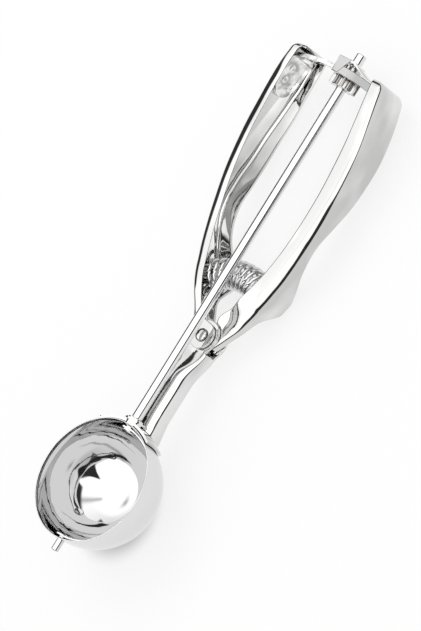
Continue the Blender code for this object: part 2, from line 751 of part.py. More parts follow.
def bend(start, corner, end, count):
    """Points of a smooth bend from start to end that would meet at corner."""
    points = []
    for i in range(count + 1):
        t = i / count
        x = (1 - t) ** 2 * start[0] + 2 * t * (1 - t) * corner[0] + t * t * end[0]
        y = (1 - t) ** 2 * start[1] + 2 * t * (1 - t) * corner[1] + t * t * end[1]
        points.append((x, y))
    return points


def ribbon(name, path, lows, highs):
    """Upright strip along a plan path, with its own lower and upper level at each point."""
    low_row = [(x, y, z) for (x, y), z in zip(path, lows)]
    high_row = [(x, y, z) for (x, y), z in zip(path, highs)]
    return skin(name, [low_row, high_row])


def rack_tooth_levels():
    """Lower edge of the rack as (arc position, level) pairs: straight-sided teeth that point down."""
    pitch = math.pi * GEAR_MODULE
    line = PITCH_RADIUS + 0.00005
    tip = line - 0.90 * GEAR_MODULE
    root = line + 1.12 * GEAR_MODULE
    half = 0.25 * pitch - 0.25 * GEAR_BACKLASH
    at_tip = half - (line - tip) * math.tan(PRESSURE_ANGLE)
    at_root = half + (root - line) * math.tan(PRESSURE_ANGLE)
    levels = []
    for k in range(-7, 4):
        middle = (k + 0.5) * pitch
        levels += [(middle - at_root, root), (middle - at_tip, tip)]
        levels += [(middle + at_tip, tip), (middle + at_root, root)]
    return [(s, z) for s, z in levels if s < RACK_TIP - 0.0002]


def rack_arc(s):
    """Plan point at arc position s on the rack's middle line."""
    a = s / RACK_RADIUS
    return (RACK_RADIUS * math.sin(a), HINGE_Y + RACK_RADIUS * math.cos(a))


def make_rack(parent):
    """Toothed strip curved about the hinge, bent into a foot that lies inside the left handle."""
    inset = SEAT_GAP + 0.5 * RACK_THICKNESS
    teeth = rack_tooth_levels()
    root_level = teeth[0][1]
    foot_top_y = RACK_Y - RACK_FOOT_DROP
    foot_ys = [foot_top_y - RACK_FOOT_LENGTH + RACK_FOOT_LENGTH * i / 8 for i in range(9)]
    foot = []
    for y in foot_ys:
        p = spine_inner_point(y, inset)
        foot.append((-p[0], p[1]))
    arc_start = -foot[-1][0] - 0.0020
    joint = rack_arc(-arc_start)
    corner = (foot[-1][0] + 0.0004, joint[1] - 0.0004)
    turn = bend(foot[-1], corner, joint, 6)
    path = foot + turn[1:]
    lows, highs = [], []
    foot_bottom = foot[0][1]
    for x, y in path:
        inner_bottom, inner_top = spine_flat(y, LEVER_EAR_OUTER, -1.0)
        if y > foot_top_y:
            rise = (y - foot_top_y) / (joint[1] - foot_top_y)
            inner_top = inner_top * (1 - rise) + RACK_TOP * rise
        high = min(RACK_TOP, inner_top)
        low = max(RACK_FOOT_DEPTH, inner_bottom)
        middle = 0.5 * (high + low)
        half = 0.5 * (high - low)
        tip = min((y - foot_bottom) / half, 1.0)
        rounding = math.sqrt(max(1.0 - (1.0 - tip) ** 2, 0.04))
        lows.append(middle - half * rounding)
        highs.append(middle + half * rounding)
    slope_end = -0.0186
    for i in range(1, 5):
        t = i / 4
        s = -arc_start + (slope_end + arc_start) * t
        path.append(rack_arc(s))
        lows.append(lows[len(foot) + 5] * (1 - t) + root_level * t)
        highs.append(RACK_TOP)
    for s, z in teeth:
        if s > slope_end + 0.0003:
            path.append(rack_arc(s))
            lows.append(z)
            highs.append(RACK_TOP)
    path.append(rack_arc(RACK_TIP))
    lows.append(root_level)
    highs.append(RACK_TOP)
    rack = add_object("rack", ribbon("rack", path, lows, highs), parent, 0.25)
    thicken(rack, RACK_THICKNESS, 0.0)
    add_weld_dimples(rack, foot, parent)
    return rack


def add_weld_dimples(rack, foot, parent):
    """Three shallow spot-weld dimples in the foot's open face."""
    face = 0.5 * RACK_THICKNESS
    ball_radius = (WELD_DIMPLE_RADIUS ** 2 + WELD_DIMPLE_DEPTH ** 2) / (2 * WELD_DIMPLE_DEPTH)
    for index, (place, level) in enumerate(((2, -0.0028), (3, 0.0028), (6, 0.0012))):
        x, y = foot[place]
        bm = bmesh.new()
        bmesh.ops.create_icosphere(bm, subdivisions=4, radius=ball_radius)
        name = "weld_dimple_%d" % index
        ball = add_helper(name, mesh_from_bmesh(name, bm), parent)
        ball.location = (x + face + ball_radius - WELD_DIMPLE_DEPTH, y, level)
        combine(rack, ball, "DIFFERENCE")


def bracket_low(x):
    """Lower edge of the bracket: a round lug under the shaft's bearing, then the strip."""
    if abs(x) < BRACKET_LUG_RADIUS:
        return -math.sqrt(BRACKET_LUG_RADIUS ** 2 - x * x)
    return BRACKET_STRIP_BOTTOM * ease((abs(x) - BRACKET_LUG_RADIUS) / 0.004)


def bracket_high(x):
    """Upper edge of the bracket: the strip, the lid's fold and a fall to the free left edge."""
    rise = ease((BRACKET_LID_END + 0.0030 - x) / 0.0030)
    level = BRACKET_STRIP_TOP + (BRACKET_LID + 0.5 * BRACKET_SHEET - BRACKET_STRIP_TOP) * rise
    return level - max(BRACKET_LID_START - x, 0.0)


def arc_band(inner, outer, x_start, x_end, count):
    """Plan outline, anticlockwise, of a band about the hinge between two radii."""
    xs = [x_start + (x_end - x_start) * i / count for i in range(count + 1)]
    near = [(x, HINGE_Y + math.sqrt(inner ** 2 - x * x)) for x in xs]
    far = [(x, HINGE_Y + math.sqrt(outer ** 2 - x * x)) for x in xs[::-1]]
    return near + far


def make_bracket(parent):
    """Bent strip from the right handle's end that bears the shaft and folds over the rack."""
    inset = SEAT_GAP + 0.5 * BRACKET_SHEET
    strip_y = HANDLE_END - HANDLE_SHEET - 0.0005 - 0.5 * BRACKET_SHEET
    foot_ys = [strip_y - 0.0022 - BRACKET_FOOT_LENGTH * (1 - i / 4) for i in range(5)]
    foot = [tuple(spine_inner_point(y, inset)) for y in foot_ys]
    corner = (foot[-1][0] - 0.0003, strip_y)
    turn = bend(foot[-1], corner, (foot[-1][0] - 0.0026, strip_y), 6)
    knee_a = bend((0.0190, strip_y), (0.0165, strip_y), (0.0146, strip_y + 0.0006), 4)
    knee_b = bend((0.0086, BRACKET_Y - 0.0011), (0.0062, BRACKET_Y), (0.0048, BRACKET_Y), 4)
    lug = [(BRACKET_LUG_RADIUS * math.cos(math.pi * i / 14), BRACKET_Y) for i in range(15)]
    path = foot + turn[1:] + knee_a + knee_b + lug + [(-BRACKET_HALF_WIDTH, BRACKET_Y)]
    lows = [bracket_low(x) for x, y in path]
    highs = [bracket_high(x) for x, y in path]
    for i, (x, y) in enumerate(foot + turn[1:]):
        rise = ease((foot[-1][0] - 0.0004 - x) / 0.0018)
        flat_top = spine_flat(y, NEST_HALF, 1.0)[1]
        highs[i] = flat_top + (highs[i] - flat_top) * rise
    bracket = add_object("bearing_bracket", ribbon("bearing_bracket", path, lows, highs), parent, 0.15)
    thicken(bracket, BRACKET_SHEET, 0.0)
    back = BRACKET_Y + 0.5 * BRACKET_SHEET - JOIN_NUDGE
    front_radius = RACK_RADIUS - 0.5 * RACK_THICKNESS - SEAT_GAP - BRACKET_SHEET
    front_y = HINGE_Y + front_radius + 2 * JOIN_NUDGE
    lid_outline = [
        (-0.0012, front_y),
        (0.0012, front_y),
        (BRACKET_LID_END, back),
        (BRACKET_LID_START, back),
    ]
    web_low = RACK_TOP + SEAT_GAP
    web = arc_band(front_radius, RACK_RADIUS + 0.0012, -0.0020, BRACKET_WEB_END, 12)
    lip = arc_band(front_radius + JOIN_NUDGE, front_radius + BRACKET_SHEET, -0.0020 + JOIN_NUDGE, 0.0196, 12)
    lip_low = PITCH_RADIUS + GEAR_MODULE + 0.0004
    for name, mesh in (
        ("bracket_lid", plate_mesh("bracket_lid", lid_outline, BRACKET_LID, BRACKET_LID + BRACKET_SHEET)),
        ("bracket_web", plate_mesh("bracket_web", web, web_low, web_low + BRACKET_SHEET)),
        ("bracket_lip", plate_mesh("bracket_lip", lip, lip_low, web_low + 0.6 * BRACKET_SHEET)),
    ):
        combine(bracket, add_helper(name, mesh, parent), "UNION")
    bore_radius = SHAFT_RADIUS + SHAFT_CLEARANCE
    bore = add_helper("bracket_bore", rod_mesh("bracket_bore", bore_radius, 4 * BRACKET_SHEET, 28), parent)
    along_y(bore, BRACKET_Y)
    combine(bracket, bore, "DIFFERENCE")
    return bracket


def blade_half_width(distance):
    """Half width of the blade at a distance from the pole, measured along the ball."""
    quarter = 0.5 * math.pi * BLADE_OUTER
    waist = 0.5 * BLADE_WAIST
    middle = 0.5 * BLADE_WIDTH
    strip = waist + (middle - waist) * ease((distance - BLADE_EYE_RADIUS) / (quarter - BLADE_EYE_RADIUS))
    if distance < math.sqrt(BLADE_EYE_RADIUS ** 2 - waist ** 2):
        return max(math.sqrt(max(BLADE_EYE_RADIUS ** 2 - distance ** 2, 0.0)), 0.0003)
    return strip


def make_blade(parent):
    """Strip of a ball from pole to pole with a round eye at each end, parked against the right wall."""
    quarter = 0.5 * math.pi * BLADE_OUTER
    eye = [BLADE_EYE_RADIUS * math.sin(0.5 * math.pi * i / 4) for i in range(-4, 3)]
    run = [BLADE_EYE_RADIUS * 0.82 + (quarter - BLADE_EYE_RADIUS * 0.82) * i / 9 for i in range(10)]
    distances = eye + run
    stations = [(-quarter + d, d) for d in distances] + [(quarter - d, d) for d in distances[-2::-1]]
    outward = Vector((math.sin(BLADE_REST_ANGLE), 0.0, -math.cos(BLADE_REST_ANGLE)))
    across = Vector((math.cos(BLADE_REST_ANGLE), 0.0, math.sin(BLADE_REST_ANGLE)))
    along = Vector((0.0, 1.0, 0.0))
    rings = []
    for position, distance in stations:
        angle = position / BLADE_OUTER
        spine = outward * math.cos(angle) + along * math.sin(angle)
        half = blade_half_width(distance) / BLADE_OUTER
        ring = []
        for j in range(7):
            side = half * (j / 3 - 1)
            ring.append((spine * math.cos(side) + across * math.sin(side)) * BLADE_OUTER)
        rings.append(ring)
    blade = add_object("scraper_blade", skin("scraper_blade", rings), parent)
    thicken(blade, BLADE_THICKNESS, 1.0)
    for name, y, radius in (
        ("blade_shaft_eye", BLADE_OUTER, SHAFT_RADIUS + SHAFT_CLEARANCE),
        ("blade_pin_eye", -BLADE_OUTER, PIN_RADIUS + SEAT_GAP),
    ):
        eye_cut = add_helper(name, rod_mesh(name, radius, 0.004, 24), parent)
        along_y(eye_cut, y)
        combine(blade, eye_cut, "DIFFERENCE")
    return blade


def spring_points():
    """Middle line of the wire: a helix whose axis is an arc about the hinge."""
    steps_per_turn = 9
    total = SPRING_TURNS * steps_per_turn
    points = []
    for i in range(total + 1):
        t = i / total
        arc = SPRING_HALF_ANGLE * (1 - 2 * t)
        turn = 2 * math.pi * SPRING_TURNS * t
        radius = SPRING_ARC_RADIUS + SPRING_MEAN_RADIUS * math.cos(turn)
        x = radius * math.sin(arc)
        y = HINGE_Y + radius * math.cos(arc)
        points.append((x, y, SPRING_LEVEL + SPRING_MEAN_RADIUS * math.sin(turn)))
    return [straight_end(points[1], points[0])] + points + [straight_end(points[-2], points[-1])]


def straight_end(before, last):
    """Point one wire diameter past the last one, straight on."""
    way = (Vector(last) - Vector(before)).normalized()
    return tuple(Vector(last) + way * SPRING_WIRE)


def report_spring_gap(points):
    """Print the least gap between turns of the wire."""
    fine = np.array(points)
    least = 1.0
    skip = 5
    for i in range(len(fine)):
        far = fine[i + skip:]
        if len(far):
            least = min(least, float(np.min(np.linalg.norm(far - fine[i], axis=1))))
    print("return_spring: least gap between turns %.2f mm" % ((least - SPRING_WIRE) * 1000))


def make_spring(parent):
    """Return spring as one unbroken wire."""
    points = spring_points()
    report_spring_gap(points)
    curve = bpy.data.curves.new("return_spring", "CURVE")
    curve.dimensions = "3D"
    curve.bevel_depth = 0.5 * SPRING_WIRE
    curve.bevel_resolution = 1
    curve.use_fill_caps = True
    spline = curve.splines.new("POLY")
    spline.points.add(len(points) - 1)
    for point, place in zip(spline.points, points):
        point.co = (*place, 1.0)
    curve.materials.append(new_material("return_spring_steel", 0.15))
    spring = bpy.data.objects.new("return_spring", curve)
    bpy.context.scene.collection.objects.link(spring)
    spring.parent = parent
    return spring


def make_peg(name, side, parent):
    """Stud inside a handle that the spring's end sits over."""
    y = HINGE_Y + (SPRING_ARC_RADIUS - 0.0004) * math.cos(SPRING_HALF_ANGLE)
    foot = spine_inner_point(y, SEAT_GAP)
    ahead = spine_inner_point(y, SEAT_GAP + PEG_LENGTH)
    direction = Vector((side * (ahead[0] - foot[0]), ahead[1] - foot[1], 0.0)).normalized()
    chamfer = 0.0006
    profile = [
        (0.0, PEG_LENGTH),
        (PEG_RADIUS - chamfer, PEG_LENGTH),
        (PEG_RADIUS, PEG_LENGTH - chamfer),
        (PEG_RADIUS, 0.0),
        (0.0, 0.0),
    ]
    peg = turned(name, profile, parent, 20)
    peg.location = (side * foot[0], foot[1], SPRING_LEVEL)
    peg.rotation_euler = direction.to_track_quat("Z", "Y").to_euler()
    return peg


def add_empty(name, location, rotation, parent):
    empty = bpy.data.objects.new(name, None)
    empty.location = location
    empty.rotation_euler = rotation
    empty.parent = parent
    bpy.context.scene.collection.objects.link(empty)
    return empty


def tool_placement():
    """Place of the bowl's centre so that the tool lies on z = 0 with its box centred on the origin."""
    tilt = rest_tilt()
    front = -PIN_END * math.cos(tilt) - PIN_RADIUS * math.sin(tilt)
    back = SHAFT_END * math.cos(tilt) + (SHAFT_RADIUS - 0.0004) * math.sin(tilt)
    return (0.0, -0.5 * (front + back), BOWL_OUTER_RADIUS)


def build():
    clear_scene()
    tool = add_empty("tool_frame", tool_placement(), (-rest_tilt(), 0.0, 0.0), None)
    lever = add_empty("lever_axis", (0.0, HINGE_Y, 0.0), (0.0, 0.0, 0.0), tool)
    turning = add_empty("shaft_axis", (0.0, 0.0, 0.0), (0.0, 0.0, 0.0), tool)
    make_bowl(tool)
    make_saddle(tool)
    make_neck(tool)
    make_fixed_handle(tool)
    make_rivet(tool)
    make_spacer(tool)
    make_bush(tool)
    make_pin(tool)
    make_bracket(tool)
    make_peg("spring_peg_right", 1.0, tool)
    make_shaft(turning)
    make_pinion(turning)
    make_blade(turning)
    make_spring(tool)
    lever_home = add_empty("lever_home", (0.0, -HINGE_Y, 0.0), (0.0, 0.0, 0.0), lever)
    make_lever_handle(lever_home)
    make_rack(lever_home)
    make_peg("spring_peg_left", -1.0, lever_home)


build()
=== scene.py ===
# %% [markdown]
# # A squeeze ice cream scoop in polished steel
#
# The real tool is pressed from thin stainless sheet and buffed until it mirrors the room. Two channel
# handles turn on one rivet, a curved rack on the left one rolls a small gear, and a long rod carries
# that turn to a blade inside the bowl. Here every piece is drawn again, finely enough to hold clean
# reflections, in the place that the imported model gives it.
#
# The imported model is loaded first, and its nodes are kept in the scene.

# %% Load the imported model
import math

import bpy
import numpy as np
from mathutils import Matrix


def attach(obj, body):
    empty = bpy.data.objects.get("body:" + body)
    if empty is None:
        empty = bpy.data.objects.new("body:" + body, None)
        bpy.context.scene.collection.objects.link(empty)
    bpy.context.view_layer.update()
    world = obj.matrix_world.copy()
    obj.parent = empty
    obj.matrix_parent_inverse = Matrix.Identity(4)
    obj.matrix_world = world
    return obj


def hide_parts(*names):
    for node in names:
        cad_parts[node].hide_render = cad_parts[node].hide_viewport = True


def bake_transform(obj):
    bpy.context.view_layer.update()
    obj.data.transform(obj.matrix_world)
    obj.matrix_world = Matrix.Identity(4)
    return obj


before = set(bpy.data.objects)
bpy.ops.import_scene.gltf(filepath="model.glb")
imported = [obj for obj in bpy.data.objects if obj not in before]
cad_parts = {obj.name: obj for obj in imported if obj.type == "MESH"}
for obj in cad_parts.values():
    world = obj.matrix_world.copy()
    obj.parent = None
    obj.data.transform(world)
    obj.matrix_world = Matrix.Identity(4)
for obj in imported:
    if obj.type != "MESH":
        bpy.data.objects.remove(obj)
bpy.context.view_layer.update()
print("nodes in the model:", len(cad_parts))

# %% [markdown]
# ## The tool's own frame
#
# A scoop lies on a table at a slant, on its bowl and on two finger lobes. It is far easier to draw it
# level: the bowl's centre at the origin, the rod along +Y and the bowl's mouth up. One small turn about
# X and one move then lay all the points on the table.

# %% Sizes shared by several pieces, in metres
BOWL_OUTER = 0.0258
BOWL_WALL = 0.0008
COLLAR_TOP = 0.00375
HINGE_Y = 0.0700
HINGE_LEVEL = -0.0115
HANDLE_LENGTH = 0.1165
HANDLE_END = HINGE_Y + HANDLE_LENGTH
SHEET = 0.0010
GAP = 0.0003
ORIGIN = (0.0, 0.0, 0.0)
SHAFT_RADIUS = 0.0021
SHAFT_END = 0.1940
ROD_CHAMFER = 0.0004
LOBE_SHARE = 0.2146
LOBE_Y = HINGE_Y + LOBE_SHARE * HANDLE_LENGTH
LOBE_LEVEL = -0.0187
PIN_RADIUS = 0.00155
PIN_END = 0.0305

TILT = math.asin(BOWL_OUTER / math.hypot(LOBE_Y, LOBE_LEVEL)) - math.atan2(-LOBE_LEVEL, LOBE_Y)


def table_place():
    """Where the bowl's centre goes so that the tool's length is centred on the origin."""
    front = -PIN_END * math.cos(TILT) - PIN_RADIUS * math.sin(TILT)
    back = SHAFT_END * math.cos(TILT) + (SHAFT_RADIUS - ROD_CHAMFER) * math.sin(TILT)
    return np.array([0.0, -0.5 * (front + back), BOWL_OUTER])


TURN = np.array([
    [1.0, 0.0, 0.0],
    [0.0, math.cos(TILT), math.sin(TILT)],
    [0.0, -math.sin(TILT), math.cos(TILT)],
])
CENTRE = table_place()


def on_table(points):
    """Turn level points by the tilt about X, then move the bowl's centre to its place."""
    return np.asarray(points, float) @ TURN.T + CENTRE


print("tilt %.2f degrees, bowl centre at %s" % (math.degrees(TILT), CENTRE.round(4)))

# %% [markdown]
# ## Camera
#
# The photograph was taken from above the right handle with a long lens, so lines that are parallel on
# the tool stay nearly parallel. The place and the turn below come from matching the bowl's rim, the
# hinge and the ends of the rod to their places in the frame.

# %% Camera
FOCAL_PIXELS = 8000.0
PHOTO_HEIGHT = 631.0
SENSOR_WIDTH = 36.0
CAMERA_PLACE = np.array([2.03702, -0.15637, 2.28229])
CAMERA_RIGHT = np.array([0.660881, 0.526716, -0.534609])
CAMERA_UP = np.array([-0.351397, 0.846609, 0.399716])

scene = bpy.context.scene
lens = bpy.data.cameras.new("camera")
lens.sensor_width = SENSOR_WIDTH
lens.lens = FOCAL_PIXELS * SENSOR_WIDTH / PHOTO_HEIGHT
lens.clip_end = 20.0
camera = bpy.data.objects.new("camera", lens)
scene.collection.objects.link(camera)
scene.camera = camera


def square_axes(right, up):
    """Three axes at right angles: right as given, up freed of its share along right, back their product."""
    right = right / np.linalg.norm(right)
    up = up - right * np.dot(up, right)
    up = up / np.linalg.norm(up)
    return np.stack([right, up, np.cross(right, up)], axis=1)


camera_matrix = np.eye(4)
camera_matrix[:3, :3] = TURN @ square_axes(CAMERA_RIGHT, CAMERA_UP)
camera_matrix[:3, 3] = on_table(CAMERA_PLACE)
camera.matrix_world = Matrix(camera_matrix.tolist())
print("camera at", camera_matrix[:3, 3].round(3))

# %% [markdown]
# ## Studio
#
# Polished steel has no look of its own: it shows what stands round it. The photograph is a white
# studio: white paper below, a white ceiling above, and near the horizon the dark room, which draws the
# thin black lines along every edge. So the metal gets a dome to mirror. Its glow is a function of the
# direction: bright overhead, dark in a band above the floor, higher or lower on different sides. Only
# the metal sees the dome. A plain white world and one large lamp light the tool and the paper.

# %% Node helpers
scene.view_settings.view_transform = "Standard"
WHITE = (1.0, 1.0, 1.0, 1.0)


def shader_tree(owner):
    """Empty node tree of a world or a material."""
    owner.use_nodes = True
    owner.node_tree.nodes.clear()
    return owner.node_tree


def node(tree, kind, inputs=None, **settings):
    """Add a node with its plain settings. Each input gets a value, or the socket that feeds it."""
    made = tree.nodes.new(kind)
    for name, value in settings.items():
        setattr(made, name, value)
    for key, value in (inputs or {}).items():
        if isinstance(value, bpy.types.NodeSocket):
            tree.links.new(value, made.inputs[key])
        else:
            made.inputs[key].default_value = value
    return made


def math_node(tree, operation, first, second):
    """One step of arithmetic on two values."""
    return node(tree, "ShaderNodeMath", {0: first, 1: second}, operation=operation).outputs[0]


def map_range(tree, value, source, target, **settings):
    """Value carried from one range to another."""
    limits = dict(zip(("From Min", "From Max", "To Min", "To Max"), source + target))
    return node(tree, "ShaderNodeMapRange", {"Value": value, **limits}, **settings).outputs["Result"]


def fade_round(tree, middle, distances, values):
    """Value that runs smoothly from the first to the second between two distances from a point."""
    place = node(tree, "ShaderNodeTexCoord").outputs["Object"]
    away = node(tree, "ShaderNodeVectorMath", {0: place, 1: middle}, operation="DISTANCE")
    return map_range(tree, away.outputs["Value"], distances, values, interpolation_type="SMOOTHSTEP")


def two_faces(tree, kind, lighting, shown):
    """One shader for the light that falls on things, another for the camera, mirrors and glass."""
    path = node(tree, "ShaderNodeLightPath").outputs
    seen = math_node(tree, "MAXIMUM", path["Is Camera Ray"], path["Is Glossy Ray"])
    seen = math_node(tree, "MAXIMUM", seen, path["Is Transmission Ray"])
    mix = node(tree, "ShaderNodeMixShader", {0: seen, 1: lighting.outputs[0], 2: shown.outputs[0]})
    node(tree, kind, {"Surface": mix.outputs[0]})


print("view transform:", scene.view_settings.view_transform)

# %% White world
WORLD_LIGHT = 0.86

scene.world = bpy.data.worlds.new("white_studio")
tree = shader_tree(scene.world)
lighting = node(tree, "ShaderNodeBackground", {"Color": WHITE, "Strength": WORLD_LIGHT})
shown = node(tree, "ShaderNodeBackground", {"Color": WHITE, "Strength": 1.0})
two_faces(tree, "ShaderNodeOutputWorld", lighting, shown)
print("world gives %.2f of light and looks white" % WORLD_LIGHT)

# %% White paper
PAPER_HALF = 4.0
PAPER_LEVEL = -0.0002
# Painted contact shadow: the paper's glow is taken down round a point under the bowl, set a little off its
# centre.
PAINTED_SHADOW_MIDDLE = (-0.006, CENTRE[1] - 0.006, 0.0)
PAINTED_SHADOW_REACH = (0.006, 0.023)
PAINTED_SHADOW_GLOW = (0.05, 0.76)
PAPER_EDGE = (1.1, 1.6)


def paper_glow_with_painted_shadow(tree):
    """Glow of the paper: a painted contact shadow takes it almost to none where the bowl rests; even on the
    rest of the table, none past its edge.
    """
    # Painted contact shadow round the bowl.
    shade = fade_round(tree, PAINTED_SHADOW_MIDDLE, PAINTED_SHADOW_REACH, PAINTED_SHADOW_GLOW)
    edge = fade_round(tree, ORIGIN, PAPER_EDGE, (1.0, 0.0))
    return math_node(tree, "MULTIPLY", shade, edge)


corners = [(-PAPER_HALF, -PAPER_HALF, 0), (PAPER_HALF, -PAPER_HALF, 0),
           (PAPER_HALF, PAPER_HALF, 0), (-PAPER_HALF, PAPER_HALF, 0)]
floor_mesh = bpy.data.meshes.new("floor")
floor_mesh.from_pydata(corners, [], [(0, 1, 2, 3)])
floor = bpy.data.objects.new("floor", floor_mesh)
floor.location = (0.0, 0.0, PAPER_LEVEL)
scene.collection.objects.link(floor)

paper = bpy.data.materials.new("white_paper")
tree = shader_tree(paper)
matt = node(tree, "ShaderNodeBsdfDiffuse", {"Color": (0.93, 0.93, 0.93, 1.0)})
faint = node(tree, "ShaderNodeBsdfDiffuse", {"Color": (0.24, 0.24, 0.24, 1.0)})
glow = node(tree, "ShaderNodeEmission", {"Strength": paper_glow_with_painted_shadow(tree)})
glowing = node(tree, "ShaderNodeAddShader", {0: faint.outputs[0], 1: glow.outputs[0]})
two_faces(tree, "ShaderNodeOutputMaterial", matt, glowing)
floor_mesh.materials.append(paper)
print("paper is %.0f m wide" % (2 * PAPER_HALF))

# %% Lamp
TOOL_MIDDLE = np.array([0.0, 0.0, 0.012])
LAMP_PLACE = np.array([-0.7, 0.6, 1.4])
LAMP_SIZE = 1.0
LAMP_POWER = 5.0


def aimed(place, target):
    """Matrix at a place, with -Z towards a target: back is place minus target, made unit length."""
    back = (place - target) / np.linalg.norm(place - target)
    side = np.cross(np.array([0.0, 0.0, 1.0]), back)
    side = side / np.linalg.norm(side)
    stand = np.eye(4)
    stand[:3, :3] = np.stack([side, np.cross(back, side), back], axis=1)
    stand[:3, 3] = place
    return Matrix(stand.tolist())


lamp = bpy.data.lights.new("key_lamp", "AREA")
lamp.shape = "SQUARE"
lamp.size = LAMP_SIZE
lamp.energy = LAMP_POWER
lamp_object = bpy.data.objects.new("key_lamp", lamp)
scene.collection.objects.link(lamp_object)
lamp_object.visible_glossy = False
lamp_object.matrix_world = aimed(LAMP_PLACE, TOOL_MIDDLE)
print("one lamp of %.0f W" % LAMP_POWER)

# %% Glow of the dome
# The dark band round the horizon ends at one height, but for its rises: side, half width and rise.
BAND_TOP = 24.0
BAND_RISES = ((-18.0, 9.0, 26.0), (35.0, 18.0, 2.0), (8.0, 6.0, -10.0), (174.0, 14.0, 12.0))
BAND_GLOW = 0.04
SKY_GLOW = 1.75


def ease(t):
    """0 below 0, 1 above 1 and 3t^2 - 2t^3 between."""
    t = np.clip(t, 0.0, 1.0)
    return t * t * (3 - 2 * t)


def bell(angle, middle, width):
    """1 at the middle, falling off on both sides: exp(-(difference / width)^2), taken round the circle."""
    difference = (angle - middle + 180.0) % 360.0 - 180.0
    return np.exp(-(difference / width) ** 2)


def band_top(side):
    """Height where the dark band ends: its rises, and two slow waves of 3 and 7 crests round the circle."""
    top = BAND_TOP
    for middle, width, rise in BAND_RISES:
        top = top + rise * bell(side, middle, width)
    return top + 2.0 * np.sin(np.radians(3.0 * side)) + np.sin(np.radians(7.0 * side + 40.0))


def dome_glow(side, height):
    """Glow in the direction side (degrees from +X towards +Y) and height (degrees above the floor).

    Over the band the sky glows evenly, but for four things in the room: a far wall that is a little
    duller, a dark window with a slanting top, a thin pole and a thin line high on the left. Each one
    fades out through a bell or an ease, so that no reflection ends hard.
    """
    sky = ease((height - band_top(side)) / 5.0)
    far_wall = bell(side, 130.0, 55.0) * ease((60.0 - height) / 15.0)
    window = ease((47.0 - 0.45 * (side - 95.0) - height) / 3.0)
    window = window * ease((side - 100.0) / 6.0) * ease((152.0 - side) / 6.0)
    pole = bell(side, 45.0, 7.0) * ease((70.0 - height) / 8.0)
    line = bell(side, 175.0, 22.0) * bell(height, 66.0, 4.0)
    bright = (SKY_GLOW - 0.5 * far_wall) * (1.0 - 0.9 * window) * (1.0 - 0.5 * pole) * (1.0 - 0.6 * line)
    return BAND_GLOW + (bright - BAND_GLOW) * sky


print("dome glows from %.2f to %.2f" % (BAND_GLOW, SKY_GLOW))

# %% Dome for the metal to mirror
DOME_RADIUS = 1.8
DOME_ROWS = 90
DOME_COLUMNS = 360


def grid_faces(rows, columns, close_rows=False, close_columns=False):
    """Faces of a grid: corners (i, j), (i, j+1), (i+1, j+1), (i+1, j), counted modulo where it closes."""
    i = np.arange(rows if close_rows else rows - 1)
    j = np.arange(columns if close_columns else columns - 1)
    i, j = np.meshgrid(i, j, indexing="ij")
    up = (i + 1) % rows
    right = (j + 1) % columns
    quads = np.stack([i * columns + j, i * columns + right, up * columns + right, up * columns + j], axis=-1)
    return quads.reshape(-1, 4).tolist()


def studio_dome():
    """Half ball of points R (cos h cos s, cos h sin s, sin h) that carries its glow as an attribute."""
    height = np.linspace(0.0, 90.0, DOME_ROWS)
    side = np.arange(DOME_COLUMNS) * 360.0 / DOME_COLUMNS
    height, side = np.meshgrid(height, side, indexing="ij")
    h, s = np.radians(height), np.radians(side)
    points = DOME_RADIUS * np.stack([np.cos(h) * np.cos(s), np.cos(h) * np.sin(s), np.sin(h)], axis=-1)
    mesh = bpy.data.meshes.new("studio_dome")
    faces = grid_faces(DOME_ROWS, DOME_COLUMNS, close_columns=True)
    mesh.from_pydata(points.reshape(-1, 3).tolist(), [], faces)
    glow = mesh.attributes.new("glow", "FLOAT", "POINT")
    glow.data.foreach_set("value", dome_glow(side, height).ravel().astype(np.float32))
    return mesh


dome_mesh = studio_dome()
lit_cloth = bpy.data.materials.new("lit_cloth")
tree = shader_tree(lit_cloth)
glow = node(tree, "ShaderNodeAttribute", attribute_name="glow")
shine = node(tree, "ShaderNodeEmission", {"Strength": glow.outputs["Fac"]})
node(tree, "ShaderNodeOutputMaterial", {"Surface": shine.outputs[0]})
dome_mesh.materials.append(lit_cloth)
dome = bpy.data.objects.new("studio_dome", dome_mesh)
scene.collection.objects.link(dome)
dome.visible_camera = False
dome.visible_diffuse = False
dome.visible_shadow = False
print("dome of %d faces" % len(dome_mesh.polygons))

# %% [markdown]
# ## Steel
#
# All the sheet parts have the same buffed finish: almost a mirror, with very fine lines where the mop
# ran and a little haze from handling. The lines are a noise stretched along the tool, which turns the
# surface a hair. A second, even noise spreads the gloss, and a third darkens the metal in soft
# clouds. The gear is left as it was cut, so it is duller, and the spring is drawn wire. The bracket's
# lid plates are rougher, and their darker tint is painted shade for the grey that they mirror.

# %% Steel material
def noise(tree, vector, scale, detail):
    """Soft noise between 0 and 1."""
    inputs = {"Vector": vector, "Scale": scale, "Detail": detail}
    return node(tree, "ShaderNodeTexNoise", inputs).outputs["Fac"]


def stretched(tree, place, scale):
    """Coordinates multiplied by a scale for each axis."""
    return node(tree, "ShaderNodeMapping", {"Vector": place, "Scale": scale}).outputs["Vector"]


def bumped(tree, height, strength, distance, below=None):
    """Normal turned by a height, on top of another normal if one is given."""
    inputs = {"Height": height, "Strength": strength, "Distance": distance}
    if below is not None:
        inputs["Normal"] = below
    return node(tree, "ShaderNodeBump", inputs).outputs["Normal"]


